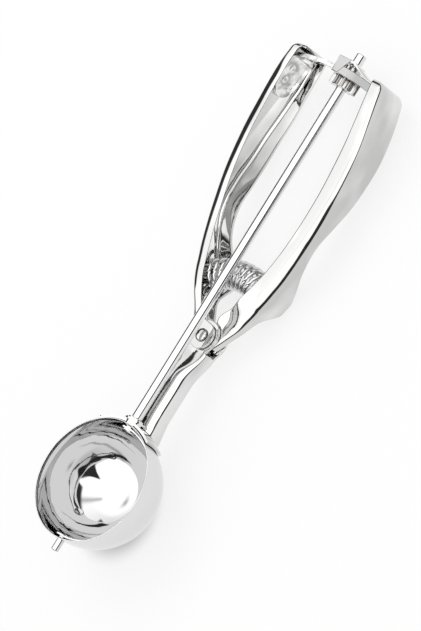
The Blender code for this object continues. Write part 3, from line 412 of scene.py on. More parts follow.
def steel(name, tint, gloss, haze, line_depth, wave, grain=(900.0, 60.0, 900.0),
          swell=(110.0, 110.0, 110.0), dull=0.0, cloud=(60.0, 28.0, 60.0)):
    """Metal whose roughness is gloss + haze * noise and whose tint is darker by up to dull in soft clouds.

    Slow waves of the swell's scale turn the normal first, then the fine lines of the grain's scale.
    """
    material = bpy.data.materials.new(name)
    tree = shader_tree(material)
    place = node(tree, "ShaderNodeTexCoord").outputs["Object"]
    spread = map_range(tree, noise(tree, place, 55.0, 3.0), (0.35, 0.75), (gloss, gloss + haze))
    waves = bumped(tree, noise(tree, stretched(tree, place, swell), 1.0, 1.0), wave, 0.001)
    lines = bumped(tree, noise(tree, stretched(tree, place, grain), 1.0, 4.0), line_depth, 0.0001, waves)
    clouds = noise(tree, stretched(tree, place, cloud), 1.0, 2.0)
    clouds = map_range(tree, clouds, (0.40, 0.60), (1.0 - dull, 1.0))
    shade = node(tree, "ShaderNodeVectorMath", {"Vector": tint, "Scale": clouds}, operation="SCALE")
    metal = node(tree, "ShaderNodeBsdfPrincipled", {
        "Base Color": shade.outputs["Vector"], "Metallic": 1.0, "Roughness": spread, "Normal": lines,
    })
    node(tree, "ShaderNodeOutputMaterial", {"Surface": metal.outputs[0]})
    return material


print("every finish is one call of steel")

# %% Steel finishes
CUT_GRAIN = (700.0, 700.0, 700.0)

BUFFED = steel("buffed_steel", (0.76, 0.76, 0.755), 0.03, 0.04, 0.05, 0.03, dull=0.25)
BOWL_STEEL = steel("spun_steel", (0.60, 0.60, 0.595), 0.02, 0.03, 0.03, 0.08,
                   grain=(500.0, 500.0, 900.0), swell=(30.0, 30.0, 260.0))
ROD_STEEL = steel("rod_steel", (0.76, 0.76, 0.76), 0.04, 0.05, 0.06, 0.0)
CUT_STEEL = steel("cut_steel", (0.56, 0.55, 0.54), 0.14, 0.12, 0.20, 0.10, CUT_GRAIN)
RACK_STEEL = steel("rack_steel", (0.86, 0.855, 0.85), 0.08, 0.10, 0.15, 0.50, CUT_GRAIN,
                   dull=0.5, cloud=(240.0, 240.0, 240.0))
# Lid plates: rougher than buffed steel, and the darker tint is painted shade for the grey that they mirror.
LID_STEEL_PAINTED_SHADE = steel("lid_steel_painted_shade", (0.50, 0.50, 0.50), 0.08, 0.08, 0.10, 0.15, dull=0.25)
WIRE_STEEL = steel("wire_steel", (0.70, 0.70, 0.70), 0.17, 0.05, 0.04, 0.0)

# The inside of the bowl gets a darker tint than the outside, and the tint changes over in the middle of the
# wall.
tree = BOWL_STEEL.node_tree
half_through = BOWL_OUTER - 0.5 * BOWL_WALL
shade = fade_round(tree, tuple(CENTRE), (half_through, half_through + GAP), (0.60, 0.74))
tree.links.new(shade, tree.nodes["Principled BSDF"].inputs["Base Color"])
print("seven steel finishes")

# %% [markdown]
# ## From a grid of points to a piece
#
# Nearly every piece is a surface with two parameters, such as the turn about an axis and the place
# along it. The helpers take such a grid of points, lay it on the table, join it into four-sided
# faces, and close it where the parameters come round. Sheet gets its thickness from Solidify and its
# broken edges from Bevel, as the press and the buffing mop give them.

# %% Piece helper
def piece_from(name, points, faces, finish, body, nodes, angle=35.0):
    """Mesh object with its place in its points, smooth but for edges sharper than the angle.

    Nodes are the nodes of the model that it replaces. Body is the moving body that it is attached to, if one
    is given.
    """
    mesh = bpy.data.meshes.new(name)
    mesh.from_pydata(on_table(np.reshape(points, (-1, 3))).tolist(), [], faces)
    mesh.shade_smooth()
    mesh.set_sharp_from_angle(angle=math.radians(angle))
    mesh.materials.append(finish)
    thing = bpy.data.objects.new(name, mesh)
    scene.collection.objects.link(thing)
    if nodes:
        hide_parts(*nodes)
    if body:
        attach(thing, body)
    print("%s: %d faces" % (name, len(mesh.polygons)))
    return thing


def end_faces(rows, columns):
    """The face over the first ring of a tube, turned round, and the face over its last ring."""
    return [list(range(columns))[::-1], list(range((rows - 1) * columns, rows * columns))]


print("pieces come from grids")

# %% Sheet helpers
def break_edges(thing, width, segments, angle):
    """Round the edges that are sharper than the angle."""
    broken = thing.modifiers.new("broken_edges", "BEVEL")
    broken.width = width
    broken.segments = segments
    broken.limit_method = "ANGLE"
    broken.angle_limit = math.radians(angle)


def sheet_metal(thing, thickness, side, edge):
    """Give a skin its wall on one side, or on both for side 0, and round its free edges."""
    wall = thing.modifiers.new("wall", "SOLIDIFY")
    wall.thickness = thickness
    wall.offset = side
    wall.use_even_offset = True
    break_edges(thing, edge, 3, 50.0)


def sheet_piece(name, points, finish, body, nodes, angle, thickness, side, edge):
    """Piece of sheet over an open grid of points."""
    faces = grid_faces(*points.shape[:2])
    sheet_metal(piece_from(name, points, faces, finish, body, nodes, angle), thickness, side, edge)


print("sheet is %.1f mm thick" % (1000 * SHEET))

# %% Lathe helpers
UP = (0.0, 0.0, 1.0)
ALONG = (0.0, 1.0, 0.0)
ON_AXIS = 0.00001


def turned_points(profile, centre, axis, steps):
    """Turn (radius, height) pairs: centre + height * axis + radius * (cos t * first + sin t * second)."""
    profile = np.asarray(profile, float)
    axis = np.asarray(axis, float)
    axis = axis / np.linalg.norm(axis)
    helper = np.array([1.0, 0.0, 0.0]) if abs(axis[0]) < 0.9 else np.array([0.0, 0.0, 1.0])
    first = np.cross(axis, helper)
    first = first / np.linalg.norm(first)
    second = np.cross(axis, first)
    t = np.linspace(0.0, 2 * np.pi, steps, endpoint=False)
    ring = np.cos(t)[:, None] * first + np.sin(t)[:, None] * second
    return np.asarray(centre) + profile[:, 1, None, None] * axis + profile[:, 0, None, None] * ring


def rounded(profile, radius, steps=4):
    """Replace each inner corner of a profile by a curve: (1-t)^2 before + 2t(1-t) corner + t^2 after."""
    profile = np.asarray(profile, float)
    before, corner, after = profile[:-2], profile[1:-1], profile[2:]
    gap_a = np.linalg.norm(before - corner, axis=1, keepdims=True)
    gap_b = np.linalg.norm(after - corner, axis=1, keepdims=True)
    start = corner + (before - corner) * np.minimum(radius / gap_a, 0.49)
    end = corner + (after - corner) * np.minimum(radius / gap_b, 0.49)
    t = np.linspace(0.0, 1.0, steps + 1)[None, :, None]
    curve = (1 - t) ** 2 * start[:, None] + 2 * t * (1 - t) * corner[:, None] + t * t * end[:, None]
    return np.concatenate([profile[:1], curve.reshape(-1, 2), profile[-1:]])


def lathe(name, profile, centre, axis, finish, body, nodes, steps, tube=False):
    """Turned piece. A profile that starts and ends on the axis is solid; a tube's closes on itself."""
    profile = np.asarray(profile, float)
    rows = len(profile)
    faces = grid_faces(rows, steps, close_rows=tube, close_columns=True)
    if not tube:
        profile[[0, -1], 0] = np.maximum(profile[[0, -1], 0], ON_AXIS)
        faces += end_faces(rows, steps)
    return piece_from(name, turned_points(profile, centre, axis, steps), faces, finish, body, nodes)


print("turned pieces come from profiles")

# %% [markdown]
# ## Bowl
#
# The bowl is spun from sheet over a ball-shaped former, and its collar runs straight up for a few
# millimetres. One profile turned about the vertical axis is enough, and a real lip closes it: the
# profile goes up the inside, over the lip and down the outside. The inside of the lip is ground to a
# steep slope, which draws the bright ring round the mouth.

# %% Bowl
BOWL_INNER = BOWL_OUTER - BOWL_WALL
SLOPE_WIDTH = 0.60 * BOWL_WALL
SLOPE_HEIGHT = 0.00115
LIP_ROUND = 0.25 * BOWL_WALL


def bowl_profile():
    """Quarter circles of both radii, joined over the collar by the slope and a small outer round."""
    a = np.linspace(0.0, 0.5 * np.pi, 48)
    quarter = np.stack([np.sin(a), -np.cos(a)], axis=1)
    crest = BOWL_INNER + SLOPE_WIDTH
    slope = np.array([
        (BOWL_INNER, COLLAR_TOP - SLOPE_HEIGHT), (BOWL_INNER + 0.00003, COLLAR_TOP - 0.00104),
        (crest - 0.00005, COLLAR_TOP - 0.00009), (crest, COLLAR_TOP - 0.00003),
        (crest + 0.00005, COLLAR_TOP),
    ])
    b = np.linspace(0.0, 0.5 * np.pi, 12)
    off_corner = LIP_ROUND * np.stack([1 - np.sin(b), 1 - np.cos(b)], axis=1)
    lip = np.array([BOWL_OUTER, COLLAR_TOP]) - off_corner
    return np.concatenate([BOWL_INNER * quarter, slope, lip, BOWL_OUTER * quarter[::-1]])


lathe("bowl_shell", bowl_profile(), ORIGIN, UP, BOWL_STEEL, "frame", ["bowl"], steps=192)

# %% [markdown]
# ## Blade
#
# A strip of a slightly smaller ball runs from pole to pole and ends in two round eyes. It is a grid:
# one parameter runs along the great circle, the other across it, and the width is a function of the
# distance from the pole.

# %% Blade
BLADE_GAP = 0.0004
BLADE_OUTER = BOWL_OUTER - BOWL_WALL - BLADE_GAP
BLADE_QUARTER = 0.5 * np.pi * BLADE_OUTER
BLADE_SHEET = 0.0006
BLADE_REST = math.radians(79.0)
EYE_RADIUS = 0.0038
EYE_TIP = 0.0003
WAIST_HALF = 0.0027
MIDDLE_HALF = 0.0047


def blade_half_width(distance):
    """Round eye near the pole, then a strip that widens smoothly from the waist to the middle."""
    along = ease((distance - EYE_RADIUS) / (BLADE_QUARTER - EYE_RADIUS))
    strip = WAIST_HALF + (MIDDLE_HALF - WAIST_HALF) * along
    circle = np.sqrt(np.clip(EYE_RADIUS ** 2 - distance ** 2, EYE_TIP ** 2, None))
    return np.where(distance < math.sqrt(EYE_RADIUS ** 2 - WAIST_HALF ** 2), circle, strip)


def blade_points():
    """Angle a along the great circle, b across: R (cos b (cos a out + sin a y) + sin b across)."""
    round_end = -EYE_RADIUS * np.cos(np.linspace(0.0, 0.5 * np.pi, 12))
    distance = np.concatenate([round_end, np.linspace(0.0, BLADE_QUARTER, 50)[1:]])
    place = np.concatenate([distance - BLADE_QUARTER, (BLADE_QUARTER - distance)[::-1][1:]])
    distance = np.concatenate([distance, distance[::-1][1:]])
    a = place / BLADE_OUTER
    half = blade_half_width(distance) / BLADE_OUTER
    b = half[:, None] * np.linspace(-1.0, 1.0, 17)[None, :]
    outward = np.array([math.sin(BLADE_REST), 0.0, -math.cos(BLADE_REST)])
    across = np.array([math.cos(BLADE_REST), 0.0, math.sin(BLADE_REST)])
    middle = np.cos(a)[:, None] * outward + np.sin(a)[:, None] * np.array(ALONG)
    return BLADE_OUTER * (np.cos(b)[..., None] * middle[:, None, :] + np.sin(b)[..., None] * across)


points = blade_points()
sheet_piece("sweep_blade", points, BUFFED, "shaft", ["scraper_blade"], 35.0, BLADE_SHEET, 1.0, 0.00015)

# %% [markdown]
# ## Rod, bush and pin
#
# The rod runs from a riveted head inside the bowl to a chamfered end past the gear. A flanged bush
# carries it through the wall, and a stout pin at the far side is the blade's other bearing. All three
# are turned about the same line, +Y.

# %% Rod
TURNED_ROUND = 0.00012
ROD_HEAD_RADIUS = 0.0029
ROD_HEAD_HEIGHT = 0.0010
HEAD_Y = BLADE_OUTER - BLADE_SHEET - GAP

rod_profile = [
    (0.0, HEAD_Y - ROD_HEAD_HEIGHT), (SHAFT_RADIUS, HEAD_Y - 0.9 * ROD_HEAD_HEIGHT),
    (ROD_HEAD_RADIUS, HEAD_Y - 0.5 * ROD_HEAD_HEIGHT), (ROD_HEAD_RADIUS, HEAD_Y), (SHAFT_RADIUS, HEAD_Y),
    (SHAFT_RADIUS, SHAFT_END - ROD_CHAMFER), (SHAFT_RADIUS - ROD_CHAMFER, SHAFT_END), (0.0, SHAFT_END),
]
rod_profile = rounded(rod_profile, TURNED_ROUND)
lathe("long_rod", rod_profile, ORIGIN, ALONG, ROD_STEEL, "shaft", ["drive_shaft"], steps=64)

# %% Bush and pin
SADDLE_INNER = BOWL_OUTER + GAP
SADDLE_OUTER = SADDLE_INNER + SHEET
FLANGE_Y = SADDLE_OUTER + GAP
ROD_BORE = 0.00235
BUSH_RADIUS = 0.00325
BUSH_START = 0.0251
BUSH_NOSE = FLANGE_Y + 0.0018
FLANGE_RADIUS = 0.0042
FLANGE_SHEET = 0.0008

bush_profile = [
    (ROD_BORE, BUSH_START), (ROD_BORE, BUSH_NOSE), (0.0026, BUSH_NOSE), (BUSH_RADIUS, FLANGE_Y + 0.0014),
    (BUSH_RADIUS, FLANGE_Y + FLANGE_SHEET), (FLANGE_RADIUS, FLANGE_Y + FLANGE_SHEET),
    (FLANGE_RADIUS, FLANGE_Y), (BUSH_RADIUS, FLANGE_Y), (BUSH_RADIUS, BUSH_START),
]
lathe("bush", bush_profile, ORIGIN, ALONG, BUFFED, "frame", ["shaft_bushing"], steps=64, tube=True)

PIN_CHAMFER = 0.0003
PIN_HEAD_RADIUS = 0.0022

pin_profile = [
    (0.0, -PIN_END), (PIN_RADIUS - PIN_CHAMFER, -PIN_END), (PIN_RADIUS, -PIN_END + PIN_CHAMFER),
    (PIN_RADIUS, -HEAD_Y - BLADE_SHEET), (PIN_HEAD_RADIUS, -HEAD_Y - BLADE_SHEET),
    (PIN_HEAD_RADIUS, -HEAD_Y + 0.0001), (0.0018, -HEAD_Y + 0.0006), (0.0, -HEAD_Y + 0.0006),
]
pin_profile = rounded(pin_profile, TURNED_ROUND)
lathe("far_pin", pin_profile, ORIGIN, ALONG, BUFFED, "frame", ["blade_pivot_pin"], steps=48)

# %% [markdown]
# ## Handles
#
# Each handle is one pressed channel. Its spine bows out to fit the hand, the lower flange drops to a
# lobe that stops the fingers, and the end is drawn over into a closed, rounded cap. The section is a C
# with round corners all the way, so the handle is a grid of sections whose sizes change along the
# length. A few stations hold those sizes, and a smooth curve runs through them.

# %% Handle sizes
# Share of the length from the hinge, how far out the spine stands, and the levels of both flanges.
HANDLE_STATIONS = np.array([
    (-0.030, 0.0052, -0.0050, -0.0130),
    (0.000, 0.0074, -0.0050, -0.0130),
    (0.052, 0.0111, -0.0049, -0.0125),
    (0.086, 0.0139, -0.0047, -0.0122),
    (0.120, 0.0166, -0.0047, -0.0132),
    (0.155, 0.0186, -0.0042, -0.0160),
    (0.189, 0.0202, -0.0035, LOBE_LEVEL - 0.0003),
    (0.223, 0.0215, -0.0029, LOBE_LEVEL - 0.0003),
    (0.258, 0.0229, -0.0023, -0.0168),
    (0.326, 0.0250, -0.0010, -0.0116),
    (0.429, 0.0274, 0.0008, -0.0077),
    (0.515, 0.0289, 0.0024, -0.0085),
    (0.601, 0.0296, 0.0039, -0.0102),
    (0.687, 0.0298, 0.0053, -0.0108),
    (0.773, 0.0293, 0.0067, -0.0111),
    (0.858, 0.0282, 0.0085, -0.0103),
    (0.927, 0.0270, 0.0097, -0.0090),
    (0.979, 0.0258, 0.0102, -0.0078),
    (1.000, 0.0252, 0.0105, -0.0073),
])
# Share of the length, width of the upper and of the lower flange, radius of the upper corner.
FIXED_FLANGES = np.array([
    (0.00, 0.0042, 0.0044, 0.0024),
    (0.03, 0.0066, 0.0051, 0.0028),
    (0.06, 0.0108, 0.0060, 0.0034),
    (0.08, 0.0126, 0.0068, 0.0037),
    (0.10, 0.0122, 0.0076, 0.0039),
    (0.12, 0.0109, 0.0084, 0.0041),
    (0.17, 0.0102, 0.0104, 0.0043),
    (0.21, 0.0097, 0.0116, 0.0044),
    (0.27, 0.0089, 0.0100, 0.0043),
    (0.33, 0.0084, 0.0084, 0.0040),
    (0.43, 0.0081, 0.0087, 0.0033),
    (0.52, 0.0080, 0.0094, 0.0028),
    (0.60, 0.0078, 0.0087, 0.0022),
    (0.69, 0.0078, 0.0081, 0.0020),
    (0.78, 0.0074, 0.0074, 0.0019),
    (0.86, 0.0067, 0.0065, 0.0018),
    (0.93, 0.0061, 0.0062, 0.0018),
    (1.00, 0.0054, 0.0058, 0.0018),
])
LEVER_FLANGES = np.array([
    (0.00, 0.0042, 0.0044, 0.0024),
    (0.06, 0.0052, 0.0060, 0.0030),
    (0.12, 0.0058, 0.0084, 0.0035),
    (0.17, 0.0058, 0.0104, 0.0037),
    (0.21, 0.0058, 0.0116, 0.0037),
    (0.27, 0.0060, 0.0100, 0.0037),
    (0.33, 0.0060, 0.0084, 0.0037),
    (0.43, 0.0057, 0.0087, 0.0034),
    (0.52, 0.0055, 0.0094, 0.0033),
    (0.60, 0.0053, 0.0087, 0.0032),
    (0.69, 0.0052, 0.0081, 0.0031),
    (0.78, 0.0051, 0.0074, 0.0030),
    (0.86, 0.0050, 0.0065, 0.0028),
    (0.93, 0.0048, 0.0062, 0.0025),
    (1.00, 0.0044, 0.0058, 0.0022),
])


def curve_through(stations, column, at):
    """Cubic Hermite curve through the stations, with the slope at each taken from its neighbours."""
    x, y = stations[:, 0], stations[:, column]
    slope = np.gradient(y, x)
    at = np.clip(at, x[0], x[-1])
    i = np.clip(np.searchsorted(x, at, side="right") - 1, 0, len(x) - 2)
    h = x[i + 1] - x[i]
    t = (at - x[i]) / h
    start = (1 + 2 * t) * (1 - t) ** 2 * y[i] + t * (1 - t) ** 2 * h * slope[i]
    return start + t * t * (3 - 2 * t) * y[i + 1] + t * t * (t - 1) * h * slope[i + 1]


print("handle is %.1f mm from the rod at most" % (1000 * HANDLE_STATIONS[:, 1].max()))

# %% Handle levels and widths
EARS_END = 0.0063
EARS_EASE = 0.0133


def share(y):
    """Share of the handle's length between the hinge and y."""
    return (np.asarray(y, float) - HINGE_Y) / HANDLE_LENGTH


def spine_out(y):
    """How far the spine stands out from the rod's line."""
    return curve_through(HANDLE_STATIONS, 1, share(y))


def flange_sizes(y, side):
    """Upper width, lower width and upper corner radius of the right (+1) or the left (-1) handle."""
    table = FIXED_FLANGES if side > 0 else LEVER_FLANGES
    return [curve_through(table, column, share(y)) for column in (1, 2, 3)]


def table_level(y):
    """Height of the table top in the level frame: a plane that slopes by the tilt."""
    return -BOWL_OUTER / math.cos(TILT) + np.asarray(y) * math.tan(TILT)


def past_ears(y):
    """0 over the ears, 1 where the channel has its own levels, eased between."""
    return ease((y - HINGE_Y - EARS_END) / EARS_EASE)


def flange_levels(y, ear_half):
    """Flat at the ears' level near the hinge, eased into the stations' levels, never under the table."""
    near = past_ears(y)
    top = (HINGE_LEVEL + ear_half) * (1 - near) + curve_through(HANDLE_STATIONS, 2, share(y)) * near
    bottom = (HINGE_LEVEL - ear_half) * (1 - near) + curve_through(HANDLE_STATIONS, 3, share(y)) * near
    return top, np.maximum(bottom, table_level(y))


print("lobe is %.1f mm from the hinge" % (1000 * (LOBE_Y - HINGE_Y)))

# %% Handle surface
END_RADIUS = 0.0030
LOWER_CORNER = 0.0030
LEAST_CORNER = 0.0008
NEST_HALF = 0.0023
LEVER_EAR_OUTER = 0.0049
CROWN = 0.0012
CROWN_POWER = 2.5
CROWN_END = HANDLE_END - 0.004
CROWN_EASE = 0.012
EDGE_DROP = 0.00014
EDGE_SHARE = 0.11
SECTIONS = 150
FIXED_START = HINGE_Y - 0.0027
LEVER_START = HINGE_Y + 0.0022


def section_sizes(side, start, ear_half):
    """Columns of sizes along the handle: y, spine, levels, widths, both corner radii and the crown.

    Over the end cap, a quarter circle, every size shrinks with the inset. The crown fades at both ends.
    """
    cap = np.linspace(0.0, 0.5 * np.pi, 12)[1:]
    straight = np.linspace(start, HANDLE_END - END_RADIUS, SECTIONS)
    y = np.concatenate([straight, HANDLE_END - END_RADIUS * (1 - np.sin(cap))])[:, None]
    inset = np.concatenate([np.zeros(SECTIONS), END_RADIUS * (1 - np.cos(cap))])[:, None]
    top, bottom = flange_levels(y, ear_half)
    upper, lower, corner = flange_sizes(y, side)
    crown = 0.0
    if side < 0:
        crown = CROWN * past_ears(y) * ease((CROWN_END - y) / CROWN_EASE)
        corner = np.maximum(corner - 1.6 * crown, LEAST_CORNER)
    top = top - inset
    bottom = bottom + inset
    r = np.minimum(corner, 0.39 * (top - bottom)) - 0.5 * inset
    q = np.minimum(LOWER_CORNER, 0.39 * (top - bottom)) - 0.8 * inset
    return y, spine_out(y) - inset, top, bottom, upper - 0.6 * inset, lower - 0.6 * inset, r, q, crown


def handle_points(side, start, ear_half):
    """C sections along +Y: upper flange, quarter circle r, spine, quarter circle q, lower flange.

    The upper flange's inner edge turns down a little, as a press leaves it. The lever's upper flange
    also falls by crown * t^2.5 towards its corner, with t from 0 at the inner edge to 1 at the spine.
    """
    y, out, top, bottom, upper, lower, r, q, crown = section_sizes(side, start, ear_half)
    a = np.linspace(0.0, 0.5 * np.pi, 11)[None, :]
    t = np.linspace(0.0, 1.0, 7)[None, :-1]
    s = np.array([[0.0, 0.02, 0.045, 0.075, EDGE_SHARE, 0.3, 0.65]])
    x = np.concatenate([
        (out - upper) + s * (upper - r), out - r + r * np.sin(a), out + 0 * t[:, 1:],
        out - q + q * np.cos(a), (out - q) - (1 - t[:, ::-1]) * (lower - q),
    ], axis=1)
    turned_edge = top - EDGE_DROP * (1 - np.minimum(s / EDGE_SHARE, 1.0)) ** 2
    spine = bottom + q + (1 - t[:, 1:]) * (top - bottom - r - q)
    z = np.concatenate([
        turned_edge, top - r + r * np.cos(a), spine, bottom + q - q * np.sin(a), bottom + 0 * t,
    ], axis=1)
    middle = 0.5 * (top + bottom)
    high = np.clip((z - middle) / (top - r - middle), 0.0, 1.0)
    z = z - crown * high * np.clip((x - out + upper) / upper, 0.0, 1.0) ** CROWN_POWER
    return np.stack([side * x, np.broadcast_to(y, x.shape), z], axis=-1)


def make_handle(name, side, start, ear_half, body, nodes):
    """Channel of one handle, closed at its end."""
    points = handle_points(side, start, ear_half)
    shape = points.shape[:2]
    faces = grid_faces(*shape) + end_faces(*shape)[1:]
    if side < 0:
        faces = [face[::-1] for face in faces]
    handle = piece_from(name, points, faces, BUFFED, body, nodes, angle=50.0)
    sheet_metal(handle, SHEET, -1.0, 0.00022)


make_handle("fixed_channel", 1.0, FIXED_START, NEST_HALF, "frame", ["fixed_handle"])
make_handle("lever_channel", -1.0, LEVER_START, LEVER_EAR_OUTER, "lever", ["lever_handle"])

# %% [markdown]
# ## Hinge
#
# Five layers sit on one rivet: the lever's two ears outside, the neck's two discs between, and the
# fixed handle's narrow end in the middle, round a sleeve. An ear is a flat plate whose outline is the
# tight wrap round two circles, so that it flows into its channel.

# %% Ears
EAR_RADIUS = 0.0055
LEVER_EAR_INNER = LEVER_EAR_OUTER - SHEET
RIVET_HOLE = 0.0023
PLATE_STEPS = 96
PLATE_EDGE = 0.00018


def wrap(circles):
    """Tight wrap round (x, y, r) circles: at each angle, the point of the circle that reaches furthest."""
    circles = np.asarray(circles, float)
    t = np.linspace(0.0, 2 * np.pi, PLATE_STEPS, endpoint=False)
    ray = np.stack([np.cos(t), np.sin(t)], axis=1)
    reach = circles[:, :2] @ ray.T + circles[:, 2:3]
    best = np.argmax(reach, axis=0)
    return circles[best, :2] + circles[best, 2:3] * ray


def at_levels(pairs, axis=0):
    """Grid from pairs of a row of plan points and the level, or the levels, that they lie at."""
    return np.stack([np.column_stack([row, np.broadcast_to(level, len(row))]) for row, level in pairs], axis)


def plate_pair(name, outline, inner, outer, body):
    """Two flat plates, over and under the hinge's middle plane, with the rivet's hole and broken edges.

    A plate is four rings: the hole and the outline at its lower level, then both at its upper level.
    """
    middle = np.array([0.0, HINGE_Y])
    ray = outline - middle
    hole = middle + RIVET_HOLE * ray / np.linalg.norm(ray, axis=1, keepdims=True)
    for word, low, high in (("upper", inner, outer), ("lower", -outer, -inner)):
        low, high = HINGE_LEVEL + low, HINGE_LEVEL + high
        points = at_levels([(hole, low), (outline, low), (outline, high), (hole, high)])
        faces = grid_faces(*points.shape[:2], close_rows=True, close_columns=True)
        plate = piece_from(name + "_" + word, points, faces, BUFFED, body, [])
        break_edges(plate, PLATE_EDGE, 2, 60.0)


hinge_end = (0.0, HINGE_Y, EAR_RADIUS)
lever_ear = wrap([hinge_end, (-0.0072, HINGE_Y + 0.0052, 0.0016)])
fixed_ear = wrap([hinge_end, (0.0055, HINGE_Y + 0.0030, 0.0012)])
plate_pair("lever_ear", lever_ear, LEVER_EAR_INNER, LEVER_EAR_OUTER, "lever")
plate_pair("fixed_ear", fixed_ear, NEST_HALF - SHEET, NEST_HALF, "frame")

# %% Rivet and sleeve
HINGE_POINT = (0.0, HINGE_Y, HINGE_LEVEL)
RIVET_RADIUS = 0.0020
RIVET_HEAD_RADIUS = 0.0027
RIVET_HEAD_HEIGHT = 0.0013
SLEEVE_RADIUS = 0.0036
SLEEVE_HALF = 0.0010


def rivet_profile():
    """Shank with a low dome at each end: radius sin a, height cos a over a quarter turn."""
    head = LEVER_EAR_OUTER + GAP
    a = np.linspace(0.0, 0.5 * np.pi, 14)
    dome = np.stack([RIVET_HEAD_RADIUS * np.sin(a), head + RIVET_HEAD_HEIGHT * np.cos(a)], axis=1)
    shank = np.array([(RIVET_RADIUS, head), (RIVET_RADIUS, -head)])
    return np.concatenate([dome, shank, dome[::-1] * (1.0, -1.0)])[::-1]


sleeve = [
    (RIVET_HOLE, SLEEVE_HALF), (RIVET_HOLE, -SLEEVE_HALF),
    (SLEEVE_RADIUS, -SLEEVE_HALF), (SLEEVE_RADIUS, SLEEVE_HALF),
]
lathe("rivet", rivet_profile(), HINGE_POINT, UP, BUFFED, "frame", ["hinge_rivet"], steps=64)
lathe("sleeve", sleeve, HINGE_POINT, UP, CUT_STEEL, "frame", ["hinge_spacer"], steps=64, tube=True)

# %% [markdown]
# ## Neck and saddle
#
# The neck is sheet rolled nearly shut, so that a thin dark slit is left along its top. Towards the
# hinge the roll is pressed flat: its lips become the upper disc and its floor runs on as the lower one.
# The width, the levels and the radii change by an eased flare at the bowl and an eased spread at the
# hinge, and the angle of the lips grows from 80 to 90 degrees. At the bowl the neck meets a plate that
# hugs the wall.

# %% Neck surface
NECK_FRONT = SADDLE_OUTER + GAP
NECK_LAP = 0.0006
NECK_HALF = 0.0050
NECK_TOP = -0.0042
NECK_BOTTOM = -0.0142
NECK_ROUND = 0.0036
FLARE_OUT = 0.0006
FLARE_DOWN = 0.0012
LIP_ANGLE = math.radians(80)
LIP_FOLD = math.radians(10)
DISC_RADIUS = 0.0070
DISC_INNER = NEST_HALF + GAP
DISC_OUTER = DISC_INNER + SHEET
SEATED = 40


def neck_points():
    """Sections along +Y: lip curled by angle c on radius q, wall, quarter circle and floor, mirrored."""
    t = np.linspace(0.0, 1.0, 110)[:, None]
    start, end = NECK_FRONT - NECK_LAP, HINGE_Y - EAR_RADIUS - GAP
    flare = 1 - ease(t / 0.25)
    spread = ease((t - 0.64) / 0.36)
    width = NECK_HALF + FLARE_OUT * flare + (DISC_RADIUS - SHEET - NECK_HALF) * spread
    top = NECK_TOP + (HINGE_LEVEL + DISC_OUTER - NECK_TOP) * spread
    bottom = NECK_BOTTOM - FLARE_DOWN * flare + (HINGE_LEVEL - DISC_OUTER - NECK_BOTTOM) * spread
    c = LIP_ANGLE + LIP_FOLD * ease((t - 0.50) / 0.20)
    q = NECK_ROUND - 0.0024 * spread
    foot = NECK_ROUND - 0.0020 * spread
    tongue = np.maximum((width - q - 0.0002) * ease((c - 0.6) / 0.9), 0.00005)
    wall_top = top - q * np.sin(c) - tongue * np.cos(c)
    a = c * np.linspace(1.0, 0.0, 9)[None, :]
    b = np.linspace(0.0, 0.5 * np.pi, 10)[None, :]
    x = np.concatenate([
        q * (1 - np.cos(c)) + tongue * np.sin(c), q * (1 - np.cos(a)), foot * (1 - np.cos(b)), width,
    ], axis=1) - width
    z = np.concatenate([top, wall_top + q * np.sin(a), bottom + foot * (1 - np.sin(b)), bottom], axis=1)
    x = np.concatenate([x, -x[:, -2::-1]], axis=1)
    z = np.concatenate([z, z[:, -2::-1]], axis=1)
    return np.stack([x, np.broadcast_to(start + (end - start) * t, x.shape), z], axis=-1)


def seated(points):
    """Lay the first section on the saddle's ball, and let that shift die out over the next sections."""
    short = points[:SEATED]
    reach = np.sqrt(np.clip(NECK_FRONT ** 2 - short[..., 0] ** 2 - short[..., 2] ** 2, 0.0, None))
    blend = np.linspace(1.0, 0.0, SEATED)[:, None]
    points[:SEATED, :, 1] = short[..., 1] + blend * (reach - short[:1, :, 1])
    return points


sheet_piece("trough", seated(neck_points()), BUFFED, "frame", ["neck"], 60.0, SHEET, 1.0, 0.0002)
disc_corners = [(x, HINGE_Y - 0.0062, 0.0010) for x in (-0.0040, 0.0040)]
disc = wrap([(0.0, HINGE_Y, DISC_RADIUS)] + disc_corners)
plate_pair("neck_disc", disc, DISC_INNER, DISC_OUTER, "frame")

# %% Saddle
SADDLE_TOP = 0.0030
SADDLE_DEPTH = 0.0145
SADDLE_HALF = 0.0140


def saddle_points():
    """Patch of a ball: level z = top - (top + depth) sin s, and an angle a that narrows downwards."""
    s = np.linspace(0.0, 0.5 * np.pi, 40)[:, None]
    z = SADDLE_TOP - (SADDLE_TOP + SADDLE_DEPTH) * np.sin(s)
    fall = np.clip((-z - 0.35 * SADDLE_DEPTH) / (0.65 * SADDLE_DEPTH), 0.0, 1.0)
    half = SADDLE_HALF / BOWL_OUTER * (0.25 + 0.75 * np.sqrt(1.0 - fall ** 2))
    radius = np.sqrt(SADDLE_INNER ** 2 - np.minimum(z, 0.0) ** 2)
    a = half * np.linspace(-1.0, 1.0, 41)[None, :]
    return np.stack([radius * np.sin(a), radius * np.cos(a), np.broadcast_to(z, a.shape)], axis=-1)


sheet_piece("saddle", saddle_points(), BUFFED, "frame", ["neck_saddle"], 60.0, SHEET, 1.0, 0.0003)

# %% [markdown]
# ## Rack and gear
#
# The rack is a strip curved about the hinge, so that its teeth stay in mesh while the handle swings.
# Its teeth point down. At the left the strip turns into a wide foot that is spot-welded inside the
# handle. The gear has twelve involute teeth, the same module as the rack, and a hub towards the
# bracket. Both are drawn from the tooth formulas, so that they mesh.

